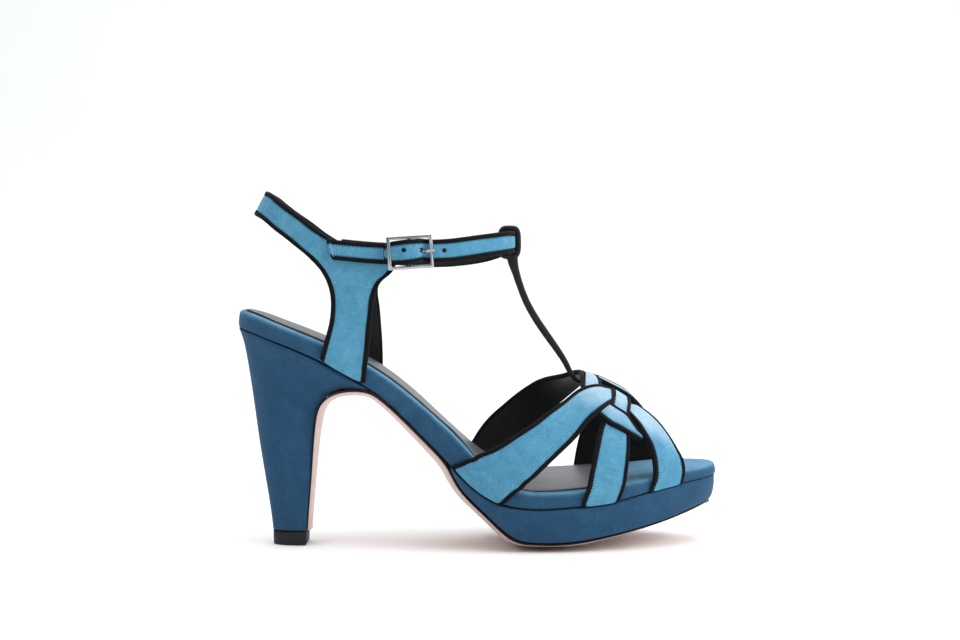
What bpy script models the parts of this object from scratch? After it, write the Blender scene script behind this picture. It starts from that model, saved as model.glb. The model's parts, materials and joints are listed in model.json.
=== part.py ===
"""A heeled T-strap platform sandal for the right foot, as separate closed solids.

Sizes are in millimetres and become metres when a mesh is made. Stations run from the back of the
heel (0) to the toe, the outer side of the foot is -Y and the inner side is +Y. The sandal stands
on its tread and on its top lift, at z = 0.
"""

import bpy
import numpy as np

MM = 0.001
LENGTH = 219.0
GAP = 0.3
ORIGIN_STATION = 109.5
ORIGIN_SIDE = 0.7

HEEL_ROUND = 30.0
HEEL_POWER = 2.3
TOE_ROUND = 45.0
TOE_POWER = 2.4

STRAP_WALL = 2.2
TAB_WALL = 1.8
ANKLE_WALL = 2.0
WAIST_TUCK = 0.5
OUTSOLE_TUCK = 2.6
OUTSOLE_TUCK_START = 150.0
OUTSOLE_TIP_HALF = 1.2
OUTSOLE_EDGE_SHARE = 0.18
LEAST_HALF = 0.4

# The sole line: height of the seam under the footbed, height of the footbed, how much higher its
# inner edge is than its outer edge, and the middle and half width of the footbed.
SOLE_COLUMNS = ("station", "seam", "footbed", "bank", "middle", "half")
SOLE = (
    (0.0, 100.3, 109.2, -0.8, 0.0, 22.5),
    (10.0, 97.2, 106.3, -1.2, 0.0, 24.4),
    (20.0, 93.6, 102.2, -1.2, 0.0, 25.3),
    (30.0, 89.6, 98.2, -1.2, 0.0, 26.1),
    (40.0, 85.0, 94.0, -1.2, -0.2, 26.3),
    (50.0, 79.5, 89.2, -1.0, -0.6, 25.6),
    (60.0, 73.5, 83.9, -1.1, -1.0, 24.6),
    (70.0, 65.5, 77.2, -1.4, -1.4, 23.8),
    (80.0, 55.8, 69.2, -1.8, -1.8, 24.0),
    (90.0, 46.0, 60.1, -3.0, -2.3, 25.7),
    (100.0, 35.6, 50.9, -4.0, -2.4, 28.8),
    (110.0, 26.2, 40.7, -1.4, -2.0, 32.7),
    (120.0, 21.2, 32.8, 1.4, -1.4, 36.1),
    (130.0, 19.6, 29.2, 3.0, -0.8, 38.5),
    (140.0, 19.3, 28.8, 3.0, -0.2, 39.9),
    (150.0, 20.1, 29.2, 2.6, 0.3, 40.3),
    (160.0, 20.8, 29.9, 2.2, 1.0, 39.8),
    (170.0, 21.9, 30.9, 1.8, 1.9, 38.3),
    (180.0, 24.2, 32.3, 1.4, 2.9, 35.8),
    (190.0, 26.6, 33.8, 0.9, 3.8, 33.0),
    (200.0, 28.3, 35.0, 0.5, 4.5, 30.2),
    (208.0, 29.3, 35.7, 0.2, 5.1, 27.8),
    (214.0, 30.0, 36.1, 0.0, 5.6, 26.0),
    (219.0, 30.6, 36.4, 0.0, 6.0, 24.5),
)

# The underside of the platform, which the outsole follows from the waist to the toe.
PLATFORM_COLUMNS = ("station", "height")
PLATFORM = (
    (96.0, 39.7),
    (98.0, 35.0),
    (100.0, 31.0),
    (103.0, 26.6),
    (106.0, 23.4),
    (110.0, 19.7),
    (115.0, 15.1),
    (120.0, 10.1),
    (125.0, 6.3),
    (130.0, 4.8),
    (137.0, 4.4),
    (147.0, 4.4),
    (157.0, 5.4),
    (168.0, 7.2),
    (179.0, 9.4),
    (190.0, 11.8),
    (202.0, 14.9),
    (210.0, 17.2),
    (219.0, 19.6),
)

# Stations at which the slabs are cut, closer together where a shape is rounded.
TOE_STATIONS = (208.5, 212.5, 215.6, 217.6, 218.6, 218.95)
INSOLE_STATIONS = (0.12, 0.8, 2.2, 4.5, *np.linspace(8.0, 204.0, 29), *TOE_STATIONS)
PLATFORM_BACK_STATIONS = (96.6, 98.4, 101.0, 104.0, 108.0, 113.0, 118.0, 123.0, 128.0)
PLATFORM_STATIONS = (*PLATFORM_BACK_STATIONS, *np.linspace(134.0, 204.0, 13), *TOE_STATIONS)
WAIST_STATIONS = (66.0, 72.0, 78.0, 84.0, 90.0, 94.0)
DROP_STATIONS = (97.0, 99.0, 101.5, 105.0, 110.0, 115.0, 120.0, 124.0, 127.5)
TREAD_STATIONS = (131.0, 138.0, 145.0, 151.0, *np.linspace(157.0, 202.0, 7))
TIP_STATIONS = (207.0, 211.0, 213.8, 215.4, 216.2)

# The sides of the slabs from the bottom up: how far a level stands out from the outline of the
# footbed, and its share of the height.
LEVEL_COLUMNS = ("grow", "share")
INSOLE_LEVELS = (
    (-0.7, 0.0),
    (0.0, 0.1),
    (0.0, 0.7),
    (-0.7, 0.9),
    (-2.4, 1.0),
)
PLATFORM_LEVELS = (
    (-2.4, 0.0),
    (-1.6, 0.06),
    (-0.2, 0.4),
    (1.2, 0.9),
    (0.7, 1.0),
)
PLATFORM_TOE_POWER = 6
PLATFORM_TOE_GROW = -0.4

# The front of the heel in side view, from its foot to where it runs out under the waist.
BREAST_COLUMNS = ("station", "height", "half")
BREAST = (
    (30.8, 6.8, 9.2),
    (31.5, 16.6, 10.0),
    (33.2, 31.5, 11.8),
    (34.4, 46.3, 14.4),
    (35.7, 57.5, 17.4),
    (36.7, 62.3, 18.9),
    (38.4, 66.0, 20.2),
    (41.2, 68.9, 21.4),
    (45.2, 71.0, 22.5),
    (50.0, 72.2, 23.4),
    (56.0, 72.5, 23.9),
    (61.5, 71.6, 24.0),
)

# The back of the heel in side view, matched with the front by its share of the height.
HEEL_BACK_COLUMNS = ("share", "station", "height", "width_share")
HEEL_BACK = (
    (0.0, 14.4, 6.8, 0.0),
    (0.15, 13.2, 17.0, 0.05),
    (0.35, 11.1, 31.0, 0.14),
    (0.55, 8.7, 46.0, 0.27),
    (0.72, 6.5, 60.0, 0.42),
    (0.85, 4.3, 72.0, 0.6),
    (0.94, 2.2, 84.0, 0.8),
    (1.0, 0.2, 99.7, 1.0),
)
HEEL_FOOT_HALF = 10.2
HEEL_FOOT_POWER = 2.3
HEEL_OVERHANG = 0.8
HEEL_TOP_BACK = 0.25
HEEL_TOP_FRONT = 61.5
HEEL_SEAT_POWER = 6
HEEL_SEAT_FRONT = 10
HEEL_SEAT_FRONT_POWER = 4
HEEL_FRONT_GAP = 0.36
HEEL_LEVELS = 18
HEEL_SIDE_POINTS = 12
HEEL_FIRST_POINT = 0.04
HEEL_SPREAD_POWER = 1.25

# The top lift from the floor up, as a share of the foot of the heel.
LIFT_COLUMNS = ("height", "size")
LIFT = (
    (0.0, 0.95),
    (0.7, 0.985),
    (6.3, 0.995),
)

# How thick the outsole is along its middle. The waist and the tread are crowned.
OUTSOLE_COLUMNS = ("run", "middle")
OUTSOLE_MIDDLE = (
    (0.0, 1.7),
    (50.0, 2.0),
    (62.0, 3.0),
    (75.0, 3.8),
    (104.0, 4.5),
    (128.0, 5.3),
    (145.0, 5.0),
    (160.0, 4.8),
    (180.0, 4.8),
    (200.0, 5.0),
    (225.0, 3.4),
    (255.0, 2.0),
    (275.0, 1.0),
)
OUTSOLE_ACROSS = (-1.0, -0.62, 0.62, 1.0)
MIDDLE_START = 34.0
MIDDLE_RUN = 28.0


def column(columns, table, name):
    """One named column of a table."""
    return np.array([row[columns.index(name)] for row in table], float)


def along(xs, ys, at):
    """A smooth curve through the points (xs, ys), read at the places in at."""
    xs, ys, at = np.asarray(xs, float), np.asarray(ys, float), np.asarray(at, float)
    slopes = np.gradient(ys, xs)
    k = np.clip(np.searchsorted(xs, at, side="right") - 1, 0, len(xs) - 2)
    width = xs[k + 1] - xs[k]
    u = np.clip((at - xs[k]) / width, 0.0, 1.0)
    rise = ys[k] * (1 + 2 * u) * (1 - u) ** 2 + ys[k + 1] * u * u * (3 - 2 * u)
    return rise + width * u * (1 - u) * (slopes[k] * (1 - u) - slopes[k + 1] * u)


def sole(name, station):
    """A column of the sole line at a station."""
    return along(column(SOLE_COLUMNS, SOLE, "station"), column(SOLE_COLUMNS, SOLE, name), station)


def half_width(station):
    """Half the width of the footbed, rounded off at the heel and the toe."""
    from_heel = np.clip(np.asarray(station, float) / HEEL_ROUND, 0.0, 1.0)
    from_toe = np.clip((LENGTH - np.asarray(station, float)) / TOE_ROUND, 0.0, 1.0)
    heel = (1 - (1 - from_heel) ** HEEL_POWER) ** (1 / HEEL_POWER)
    toe = (1 - (1 - from_toe) ** TOE_POWER) ** (1 / TOE_POWER)
    return sole("half", station) * heel * toe


def platform_height(station):
    """Height of the underside of the platform."""
    stations = column(PLATFORM_COLUMNS, PLATFORM, "station")
    return along(stations, column(PLATFORM_COLUMNS, PLATFORM, "height"), station)


def footbed_height(station, y):
    """Height of the top of the footbed, with its bank."""
    offset = (y - sole("middle", station)) / (2 * np.maximum(half_width(station), 1.0))
    return sole("footbed", station) + sole("bank", station) * np.clip(offset, -0.5, 0.5)


# The top of the foot over the forefoot: height and side place of its ridge at each station.
RIDGE_COLUMNS = ("station", "height", "side")
RIDGE = (
    (90.0, 112.0, 2.0),
    (110.0, 100.0, 3.0),
    (130.0, 86.5, 4.0),
    (140.0, 79.0, 4.5),
    (149.0, 75.6, 5.0),
    (157.0, 75.2, 5.0),
    (163.0, 73.2, 5.2),
    (169.0, 69.0, 5.5),
    (175.0, 65.0, 5.8),
    (182.0, 60.6, 6.0),
    (190.0, 55.4, 6.0),
    (198.0, 46.4, 6.0),
    (206.0, 39.6, 6.0),
    (219.0, 37.0, 6.0),
)
FOOT_POWER = 2.4
RIM_TURN = 0.2

# Straps of the vamp. A rear and a front edge, each a station and a place round the foot: -1 at the
# outer edge of the footbed, 0 on the ridge, 1 at the inner edge, 1.2 down at the seam.
STRAP_COLUMNS = ("rear", "rear_round", "front", "front_round", "lift")
OUTER_REAR_STRAP = (
    (97.3, -1.2, 120.4, -1.2, 0.0),
    (102.3, -1.108, 124.4, -1.11, 0.0),
    (107.6, -1.008, 129.2, -1.01, 0.0),
    (116.0, -0.918, 136.0, -0.951, 0.0),
    (125.0, -0.812, 142.4, -0.879, 0.0),
    (134.0, -0.696, 148.6, -0.8, 0.0),
    (142.0, -0.562, 154.6, -0.717, 0.3),
    (149.6, -0.444, 159.2, -0.622, 1.0),
    (156.2, -0.352, 163.0, -0.55, 1.8),
    (161.6, -0.275, 166.6, -0.452, 1.9),
    (166.0, -0.18, 170.4, -0.33, 1.2),
    (170.4, 0.0, 174.8, -0.12, 0.3),
    (173.5, 0.18, 179.0, 0.1, 0.0),
    (175.5, 0.36, 184.0, 0.3, 0.0),
    (176.5, 0.53, 189.0, 0.47, 0.8),
    (177.0, 0.7, 192.5, 0.66, 1.2),
    (177.2, 0.86, 194.5, 0.84, 0.6),
    (177.4, 1.0, 195.6, 1.0, 0.0),
    (177.6, 1.2, 196.2, 1.2, 0.0),
)
INNER_REAR_STRAP = (
    (99.5, 1.2, 119.0, 1.2, 0.0),
    (103.5, 1.08, 121.5, 1.1, 0.0),
    (109.2, 0.96, 126.5, 1.0, 0.0),
    (116.0, 0.83, 133.0, 0.9, 0.0),
    (124.0, 0.695, 140.0, 0.76, 0.0),
    (132.0, 0.545, 147.6, 0.58, 0.0),
    (140.0, 0.36, 155.4, 0.42, 0.0),
    (150.2, 0.17, 160.6, 0.25, 0.5),
    (156.0, 0.02, 163.6, 0.06, 1.0),
    (156.3, -0.16, 164.8, -0.12, 1.0),
    (156.5, -0.33, 165.2, -0.26, 0.4),
    (159.5, -0.5, 167.0, -0.365, 0.7),
    (165.6, -0.6, 170.6, -0.415, 1.6),
    (171.6, -0.625, 175.4, -0.44, 1.6),
    (177.6, -0.65, 179.6, -0.53, 0.8),
    (182.5, -0.665, 183.6, -0.6, 0.0),
)
MIDDLE_STRAP = (
    (155.2, -1.2, 172.4, -1.2, 0.0),
    (156.8, -1.08, 173.8, -1.1, 0.0),
    (158.7, -0.975, 175.3, -0.99, 0.0),
    (160.5, -0.88, 176.4, -0.88, 0.0),
    (162.0, -0.78, 177.0, -0.76, 0.0),
    (163.5, -0.665, 177.1, -0.66, 0.0),
    (165.6, -0.55, 176.9, -0.55, 0.2),
    (167.8, -0.42, 176.8, -0.41, 1.2),
    (168.4, -0.3, 177.4, -0.27, 1.9),
    (168.8, -0.14, 177.4, -0.1, 1.6),
    (169.0, 0.08, 176.8, 0.08, 0.5),
    (167.4, 0.3, 176.5, 0.3, 0.0),
    (163.5, 0.6, 175.2, 0.6, 0.0),
    (158.8, 0.78, 174.0, 0.78, 0.0),
    (156.2, 0.915, 172.0, 0.93, 0.0),
    (154.0, 1.06, 169.2, 1.06, 0.0),
    (153.0, 1.2, 168.0, 1.2, 0.0),
)
OUTER_FRONT_STRAP = (
    (186.0, -1.2, 201.8, -1.2, 0.0),
    (187.8, -1.04, 202.0, -1.04, 0.0),
    (187.4, -0.87, 201.4, -0.86, 0.3),
    (185.4, -0.71, 199.6, -0.71, 1.0),
    (182.0, -0.575, 195.6, -0.5, 1.4),
    (179.2, -0.475, 191.0, -0.32, 1.2),
    (176.6, -0.4, 186.6, -0.17, 0.8),
    (174.0, -0.3, 182.5, -0.04, 0.2),
)
RING_STRAP = (
    (161.0, -0.04, 160.0, 0.14, 0.2),
    (165.0, -0.1, 164.6, 0.08, 1.6),
    (170.0, -0.12, 170.0, 0.06, 2.7),
    (175.0, -0.12, 175.0, 0.06, 3.0),
    (180.0, -0.08, 179.6, 0.1, 2.0),
    (184.5, 0.0, 183.5, 0.18, 0.3),
)

# The ankle: how far back the sling lies and half the width, by height, and the reach to the front.
ANKLE_COLUMNS = ("height", "back", "half")
ANKLE = (
    (70.0, 7.4, 26.4),
    (100.0, 7.4, 26.4),
    (125.0, 8.6, 26.0),
    (150.0, 9.2, 25.2),
    (156.0, 12.2, 25.0),
    (162.0, 15.6, 24.8),
)
ANKLE_MIDDLE = 62.0
ANKLE_FRONT = 125.0
ANKLE_POWER = 2.3
ANKLE_BLEND = 24.0
INNER_AHEAD = 2.0

# One side strap, from its foot at the seam up and round into the sling, with a front arm. The
# inner side has a front edge of its own and lies lower.
QUARTER_COLUMNS = ("rear", "rear_height", "front", "front_height", "inner_front", "inner_drop")
QUARTER = (
    (39.0, 86.2, 59.2, 74.5, 63.6, 1.0),
    (40.3, 90.5, 60.0, 82.0, 64.2, 1.0),
    (41.8, 96.0, 61.3, 92.0, 64.2, 1.0),
    (43.6, 102.5, 62.2, 101.0, 63.6, 0.9),
    (44.5, 109.0, 63.2, 109.0, 62.9, 0.9),
    (44.4, 115.5, 64.3, 115.8, 62.0, 0.8),
    (43.0, 121.0, 67.0, 121.4, 63.5, 0.8),
    (40.6, 125.8, 71.8, 125.4, 67.6, 0.8),
    (38.4, 128.6, 73.6, 130.5, 70.0, 0.9),
    (36.0, 131.2, 67.6, 136.8, 66.0, 1.1),
    (33.1, 134.0, 57.0, 138.2, 56.5, 1.4),
    (30.5, 136.1, 47.0, 139.7, 47.0, 1.7),
    (28.4, 137.8, 39.5, 144.2, 39.5, 2.0),
    (24.2, 141.2, 32.0, 150.2, 32.0, 2.1),
    (19.2, 144.9, 25.8, 154.6, 25.8, 2.0),
    (15.2, 148.2, 21.2, 158.2, 21.2, 1.7),
    (11.8, 150.2, 17.8, 160.8, 17.8, 1.2),
    (9.4, 150.9, 15.7, 161.8, 15.7, 0.0),
)
QUARTER_STEPS = 69

# The tab that is sewn to the outer side strap and the long strap, by station along the outer side
# or by turn round the ankle: 180 degrees is the front, 270 the outer side.
TAB_COLUMNS = ("station", "low", "high", "lift")
TAB = (
    (44.2, 131.4, 140.4, 2.5),
    (52.0, 130.6, 139.5, 2.5),
    (62.0, 129.6, 138.6, 2.5),
    (70.0, 129.1, 138.1, 2.5),
    (73.7, 129.2, 138.1, 2.45),
    (75.9, 129.5, 138.2, 1.9),
    (77.7, 130.1, 138.5, 1.55),
    (79.1, 130.3, 138.5, 1.5),
)
TAB_STEPS = 14
LONG_COLUMNS = ("turn", "low", "high", "lift")
LONG_STRAP = (
    (75.0, 130.1, 140.0, 2.5),
    (88.0, 128.6, 138.5, 2.5),
    (98.0, 127.4, 137.4, 2.4),
    (108.0, 126.6, 136.6, 1.4),
    (122.0, 126.9, 136.9, 0.6),
    (140.0, 128.8, 138.8, 0.4),
    (160.0, 132.0, 142.0, 0.3),
    (180.0, 133.3, 143.3, 0.3),
    (200.0, 133.1, 143.1, 0.3),
    (216.0, 132.1, 142.2, 0.4),
    (228.0, 130.9, 141.2, 0.5),
    (238.0, 129.9, 140.2, 0.6),
    (245.4, 129.6, 139.8, 0.7),
    (248.6, 129.8, 140.0, 0.7),
    (250.2, 130.2, 140.1, 0.85),
    (251.3, 130.3, 140.2, 2.1),
    (253.1, 129.8, 140.2, 5.0),
    (254.8, 129.4, 140.0, 6.4),
    (257.5, 129.0, 139.8, 6.75),
    (259.4, 128.8, 139.6, 6.1),
    (261.2, 128.7, 139.3, 5.15),
    (263.4, 128.7, 138.9, 4.65),
    (266.0, 129.4, 138.0, 4.6),
)
LONG_STEPS = 64

# The narrow strap up the instep, from under the vamp to the front of the ankle strap.
INSTEP_COLUMNS = ("station", "side", "height", "half_wall")
INSTEP = (
    (161.0, 5.0, 71.6, 0.8),
    (158.2, 4.9, 72.6, 0.9),
    (155.0, 4.8, 74.1, 1.0),
    (152.3, 4.6, 78.0, 1.25),
    (150.0, 4.4, 82.6, 1.4),
    (146.5, 4.0, 88.2, 1.55),
    (141.3, 3.5, 95.7, 1.7),
    (136.4, 3.0, 103.1, 1.7),
    (132.4, 2.4, 110.5, 1.65),
    (129.5, 1.8, 118.0, 1.65),
    (127.5, 1.3, 124.4, 1.85),
    (126.4, 1.1, 128.4, 2.3),
    (125.9, 1.0, 131.8, 2.7),
)
INSTEP_WIDTH = 6.6
INSTEP_STEPS = 22
SECTION_COLUMNS = ("side", "thick")
INSTEP_SECTION = (
    (-1.0, 0.55),
    (-0.8, 1.0),
    (0.8, 1.0),
    (1.0, 0.55),
    (1.0, -0.55),
    (0.8, -1.0),
    (-0.8, -1.0),
    (-1.0, -0.55),
)
LOOP_LOW = 132.8
LOOP_HIGH = 143.8
LOOP_BACK = 122.0
LOOP_FRONT = 127.85
LOOP_WALL = 2.2
LOOP_POWER = 0.42
LOOP_SIDES = 20

# The buckle on the outer side.
BUCKLE_STATION = 78.65
BUCKLE_HEIGHT = 134.4
BUCKLE_LENGTH = 21.0
BUCKLE_WIDTH = 14.9
BUCKLE_BAR = 1.5
BUCKLE_DEPTH = 1.5
BUCKLE_OFF = 5.9
BUCKLE_ROLL = 3.0
BUCKLE_YAW = 12.0
BUCKLE_EASE = 0.35
MIDDLE_BAR_RADIUS = 0.7
MIDDLE_BAR_SIDES = 10
MIDDLE_BAR_DROP = 1.4
MIDDLE_BAR_KNEE = 1.0
EYE_SIDES = 14
TAB_EYE_WALL = 0.9
TAB_EYE_CLEAR = 1.6
TAB_SLOT_AHEAD = 0.6
TAB_SLOT_LONG = 3.2
TAB_SLOT_DEEP = 3.0
PRONG_EYE_WALL = 0.8
PRONG_EYE_HALF = 1.1
PRONG_RADIUS = 0.65
PRONG_SIDES = 8
PRONG_COLUMNS = ("ahead", "off")
PRONG = (
    (1.3, -1.4),
    (4.2, -1.2),
    (6.4, 0.1),
    (8.4, 1.5),
    (11.4, 1.5),
)

COLOURS = {
    "suede_dark": ((0.018, 0.105, 0.205, 1.0), 0.0, 0.95),
    "suede_light": ((0.085, 0.36, 0.56, 1.0), 0.0, 0.95),
    "leather_black": ((0.012, 0.012, 0.016, 1.0), 0.0, 0.5),
    "leather_pink": ((0.78, 0.36, 0.29, 1.0), 0.0, 0.45),
    "rubber_black": ((0.015, 0.015, 0.017, 1.0), 0.0, 0.6),
    "chrome": ((0.75, 0.75, 0.76, 1.0), 1.0, 0.18),
}


def foot_point(station, turn):
    """A point on the foot over the forefoot, and down the rim of the footbed beyond its edges."""
    station, turn = np.asarray(station, float), np.asarray(turn, float)
    stations = column(RIDGE_COLUMNS, RIDGE, "station")
    side = along(stations, column(RIDGE_COLUMNS, RIDGE, "side"), station)
    top = along(stations, column(RIDGE_COLUMNS, RIDGE, "height"), station)
    edge = sole("middle", station) + np.sign(turn) * (half_width(station) + GAP)
    bed, seam = sole("footbed", station), sole("seam", station)
    angle = np.clip(np.abs(turn), 0.0, 1.0) * np.pi / 2
    y = side + (edge - side) * np.sin(angle) ** (2 / FOOT_POWER)
    dome = bed + (top - bed) * np.abs(np.cos(angle)) ** (2 / FOOT_POWER)
    rim = bed - (np.abs(turn) - 1) / RIM_TURN * (bed - seam)
    return np.stack([station, y, np.where(np.abs(turn) > 1, rim, dome)], -1)


def ankle_point(turn, height):
    """A point round the ankle: turn 0 at the back, 90 on the inner side, 270 on the outer side."""
    turn, height = np.asarray(turn, float), np.asarray(height, float)
    heights = column(ANKLE_COLUMNS, ANKLE, "height")
    back = along(heights, column(ANKLE_COLUMNS, ANKLE, "back"), height)
    half = along(heights, column(ANKLE_COLUMNS, ANKLE, "half"), height)
    cosine, sine = np.cos(np.radians(turn)), np.sin(np.radians(turn))
    reach = np.where(cosine > 0, ANKLE_MIDDLE - back, ANKLE_FRONT - ANKLE_MIDDLE)
    x = ANKLE_MIDDLE - np.sign(cosine) * reach * np.abs(cosine) ** (2 / ANKLE_POWER)
    free = np.sign(sine) * half * np.abs(sine) ** (2 / ANKLE_POWER)
    rim = sole("middle", x) + np.sign(sine) * (half_width(x) + GAP)
    share = np.clip((height - sole("footbed", x)) / ANKLE_BLEND, 0.0, 1.0)
    share = share * share * (3 - 2 * share)
    return np.stack([x, rim + (free - rim) * share, height], -1)


def ankle_turn(station, height):
    """The turn from the back, on the inner side, at which the ankle reaches a station."""
    heights = column(ANKLE_COLUMNS, ANKLE, "height")
    back = along(heights, column(ANKLE_COLUMNS, ANKLE, "back"), height)
    reach = np.where(station < ANKLE_MIDDLE, ANKLE_MIDDLE - back, ANKLE_FRONT - ANKLE_MIDDLE)
    share = np.clip((ANKLE_MIDDLE - station) / reach, -1.0, 1.0)
    return np.degrees(np.arccos(np.sign(share) * np.abs(share) ** (ANKLE_POWER / 2)))


def outward(surface, u, v, du, dv):
    """Unit normals of a surface, turned away from the foot."""
    across = surface(u + du, v) - surface(u - du, v)
    up = surface(u, v + dv) - surface(u, v - dv)
    normal = np.cross(across, up)
    normal /= np.linalg.norm(normal, axis=-1, keepdims=True)
    return normal


def add_mesh(name, points, faces, colour):
    """An object from points in millimetres, moved into the shared frame, with faces turned out."""
    shifted = np.asarray(points, float) - np.array([ORIGIN_STATION, ORIGIN_SIDE, 0.0])
    mesh = bpy.data.meshes.new(name)
    mesh.from_pydata((shifted * MM).tolist(), [], [list(map(int, face)) for face in faces])
    volume = 0.0
    for face in mesh.polygons:
        corners = [mesh.vertices[i].co for i in face.vertices]
        for k in range(1, len(corners) - 1):
            volume += corners[0].dot(corners[k].cross(corners[k + 1]))
    if volume < 0:
        mesh.flip_normals()
    obj = bpy.data.objects.new(name, mesh)
    bpy.context.scene.collection.objects.link(obj)
    mesh.materials.append(material(colour))
    return obj


def material(name):
    """The named Principled material."""
    if name in bpy.data.materials:
        return bpy.data.materials[name]
    made = bpy.data.materials.new(name)
    made.use_nodes = True
    colour, metallic, roughness = COLOURS[name]
    shader = made.node_tree.nodes["Principled BSDF"]
    shader.inputs["Base Color"].default_value = colour
    shader.inputs["Metallic"].default_value = metallic
    shader.inputs["Roughness"].default_value = roughness
    return made


def grid_faces(rows, across, start, wrap=False):
    """Quads between rows of points, numbered from start."""
    faces = []
    for i in range(rows - 1):
        for j in range(across if wrap else across - 1):
            k = (j + 1) % across
            low, high = start + i * across, start + (i + 1) * across
            faces.append((low + j, low + k, high + k, high + j))
    return faces


def loft(name, rings, colour, cap_pairs=False):
    """A closed body from rings with the same number of points, capped at both ends."""
    count = len(rings[0])
    points = np.concatenate(rings)
    faces = grid_faces(len(rings), count, 0, wrap=True)
    for ring, flip in ((0, True), (len(rings) - 1, False)):
        start = ring * count
        if cap_pairs:
            caps = []
            for k in range(count // 2 - 1):
                caps.append((start + k, start + k + 1, start + count - 2 - k, start + count - 1 - k))
        else:
            caps = [tuple(range(start, start + count))]
        faces += [cap[::-1] for cap in caps] if flip else caps
    return add_mesh(name, points, faces, colour)


# The section of a strap: places across it and the share of the wall there.
STRIP_ACROSS = (0.0, 0.08, 0.5, 0.92, 1.0)
STRIP_BULGE = (0.62, 1.0, 1.0, 1.0, 0.62)


def hoop(name, rings, colour):
    """A closed hoop from rings, the last of which is joined to the first."""
    count = len(rings[0])
    faces = grid_faces(len(rings), count, 0, wrap=True)
    last = (len(rings) - 1) * count
    for j in range(count):
        k = (j + 1) % count
        faces.append((last + j, last + k, k, j))
    return add_mesh(name, np.concatenate(rings), faces, colour)


def strip(name, surface, edges, lift, wall, colour, steps, filled=False):
    """A strap on a surface: its two edges, its lift off the foot and its wall, as one closed body.

    A filled strap keeps its inner face on the foot where its outer face is lifted over another.
    """
    first, second, lift = (np.asarray(part, float) for part in (*edges, lift))
    rows = np.arange(len(lift))
    at = np.linspace(0, len(lift) - 1, steps)
    first = np.stack([along(rows, first[:, k], at) for k in (0, 1)], -1)
    second = np.stack([along(rows, second[:, k], at) for k in (0, 1)], -1)
    lift = along(rows, lift, at)
    share = np.array(STRIP_ACROSS)[None, :, None]
    place = first[:, None, :] * (1 - share) + second[:, None, :] * share
    u, v = place[..., 0], place[..., 1]
    base, normal = surface(u, v), surface.normal(u, v)
    low = base if filled else base + normal * lift[:, None, None]
    high = base + normal * (lift[:, None, None] + wall * np.array(STRIP_BULGE)[None, :, None])
    rings = [np.concatenate([high[i], low[i][::-1]]) for i in range(steps)]
    return loft(name, rings, colour, cap_pairs=True)


class Surface:
    """A surface with the small steps that its normals are taken with."""

    def __init__(self, point, steps, sign):
        self.point, self.steps, self.sign = point, steps, sign

    def __call__(self, u, v):
        return self.point(u, v)

    def normal(self, u, v):
        return self.sign * outward(self.point, u, v, *self.steps)


FOOT = Surface(foot_point, (0.4, 0.006), 1.0)
ANKLE_ROUND = Surface(ankle_point, (0.8, 0.8), -1.0)


def plate(name, stations, levels, outline, height, colour):
    """A closed slab along the foot, from a table of levels and two functions of them."""
    rings = []
    for row in levels:
        x, middle, half = outline(np.array(stations), row[LEVEL_COLUMNS.index("grow")])
        ring_x = np.concatenate([x, x[::-1]])
        ring_y = np.concatenate([middle - half, (middle + half)[::-1]])
        ring_z = height(ring_x, ring_y, row[LEVEL_COLUMNS.index("share")])
        rings.append(np.stack([ring_x, ring_y, ring_z], -1))
    return loft(name, rings, colour, cap_pairs=True)


def footbed_outline(stations, grow):
    """The outline of the footbed grown on all sides."""
    x = LENGTH / 2 + (stations - LENGTH / 2) * (1 + 2 * grow / LENGTH)
    return x, sole("middle", stations), np.maximum(half_width(stations) + grow, LEAST_HALF)


def footbed_level(x, y, share):
    """A height between the seam and the top of the footbed."""
    at = np.clip(x, 0.0, LENGTH)
    return sole("seam", at) + (footbed_height(at, y) - sole("seam", at)) * share


def make_insole():
    """The footbed with its wrapped rim."""
    return plate(
        "insole", INSOLE_STATIONS, INSOLE_LEVELS, footbed_outline, footbed_level, "suede_dark"
    )


def platform_outline(stations, grow):
    """The outline of the platform: grown at its sides, set back at its toe, left alone at its back."""
    share = np.clip((stations - LENGTH / 2) / (LENGTH / 2), 0.0, 1.0) ** PLATFORM_TOE_POWER
    ahead = min(grow, PLATFORM_TOE_GROW) * share
    return stations + ahead, sole("middle", stations), half_width(stations) + grow


def platform_level(x, y, share):
    """A height between the underside of the platform and the seam above it."""
    top = sole("seam", np.clip(x, 0.0, LENGTH)) - GAP
    return platform_height(x) * (1 - share) + top * share


def make_platform():
    """The forefoot platform between the footbed and the tread."""
    return plate(
        "platform", PLATFORM_STATIONS, PLATFORM_LEVELS, platform_outline, platform_level, "suede_dark"
    )


def sole_path():
    """The upper face of the outsole in side view: station, height, middle and half width."""
    waist = np.array(WAIST_STATIONS)
    under = np.array((*DROP_STATIONS, *TREAD_STATIONS, *TIP_STATIONS))
    x = np.concatenate([column(BREAST_COLUMNS, BREAST, "station"), waist, under])
    z = np.concatenate([
        column(BREAST_COLUMNS, BREAST, "height"),
        sole("seam", waist) - GAP,
        platform_height(under) - GAP,
    ])
    ahead = np.clip((under - OUTSOLE_TUCK_START) / (LENGTH - OUTSOLE_TUCK_START), 0.0, 1.0)
    tucked = half_width(under + ahead * OUTSOLE_TUCK) - OUTSOLE_TUCK
    half = np.concatenate([
        column(BREAST_COLUMNS, BREAST, "half"),
        half_width(waist) - WAIST_TUCK,
        np.maximum(tucked, OUTSOLE_TIP_HALF),
    ])
    middle = sole("middle", x) * np.clip((x - MIDDLE_START) / MIDDLE_RUN, 0.0, 1.0)
    return x, z, middle, half


def path_normals(x, z):
    """The side of a path in side view that faces the ground and the front of the heel."""
    dx, dz = np.gradient(x), np.gradient(z)
    size = np.hypot(dx, dz)
    return dz / size, -dx / size


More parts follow.
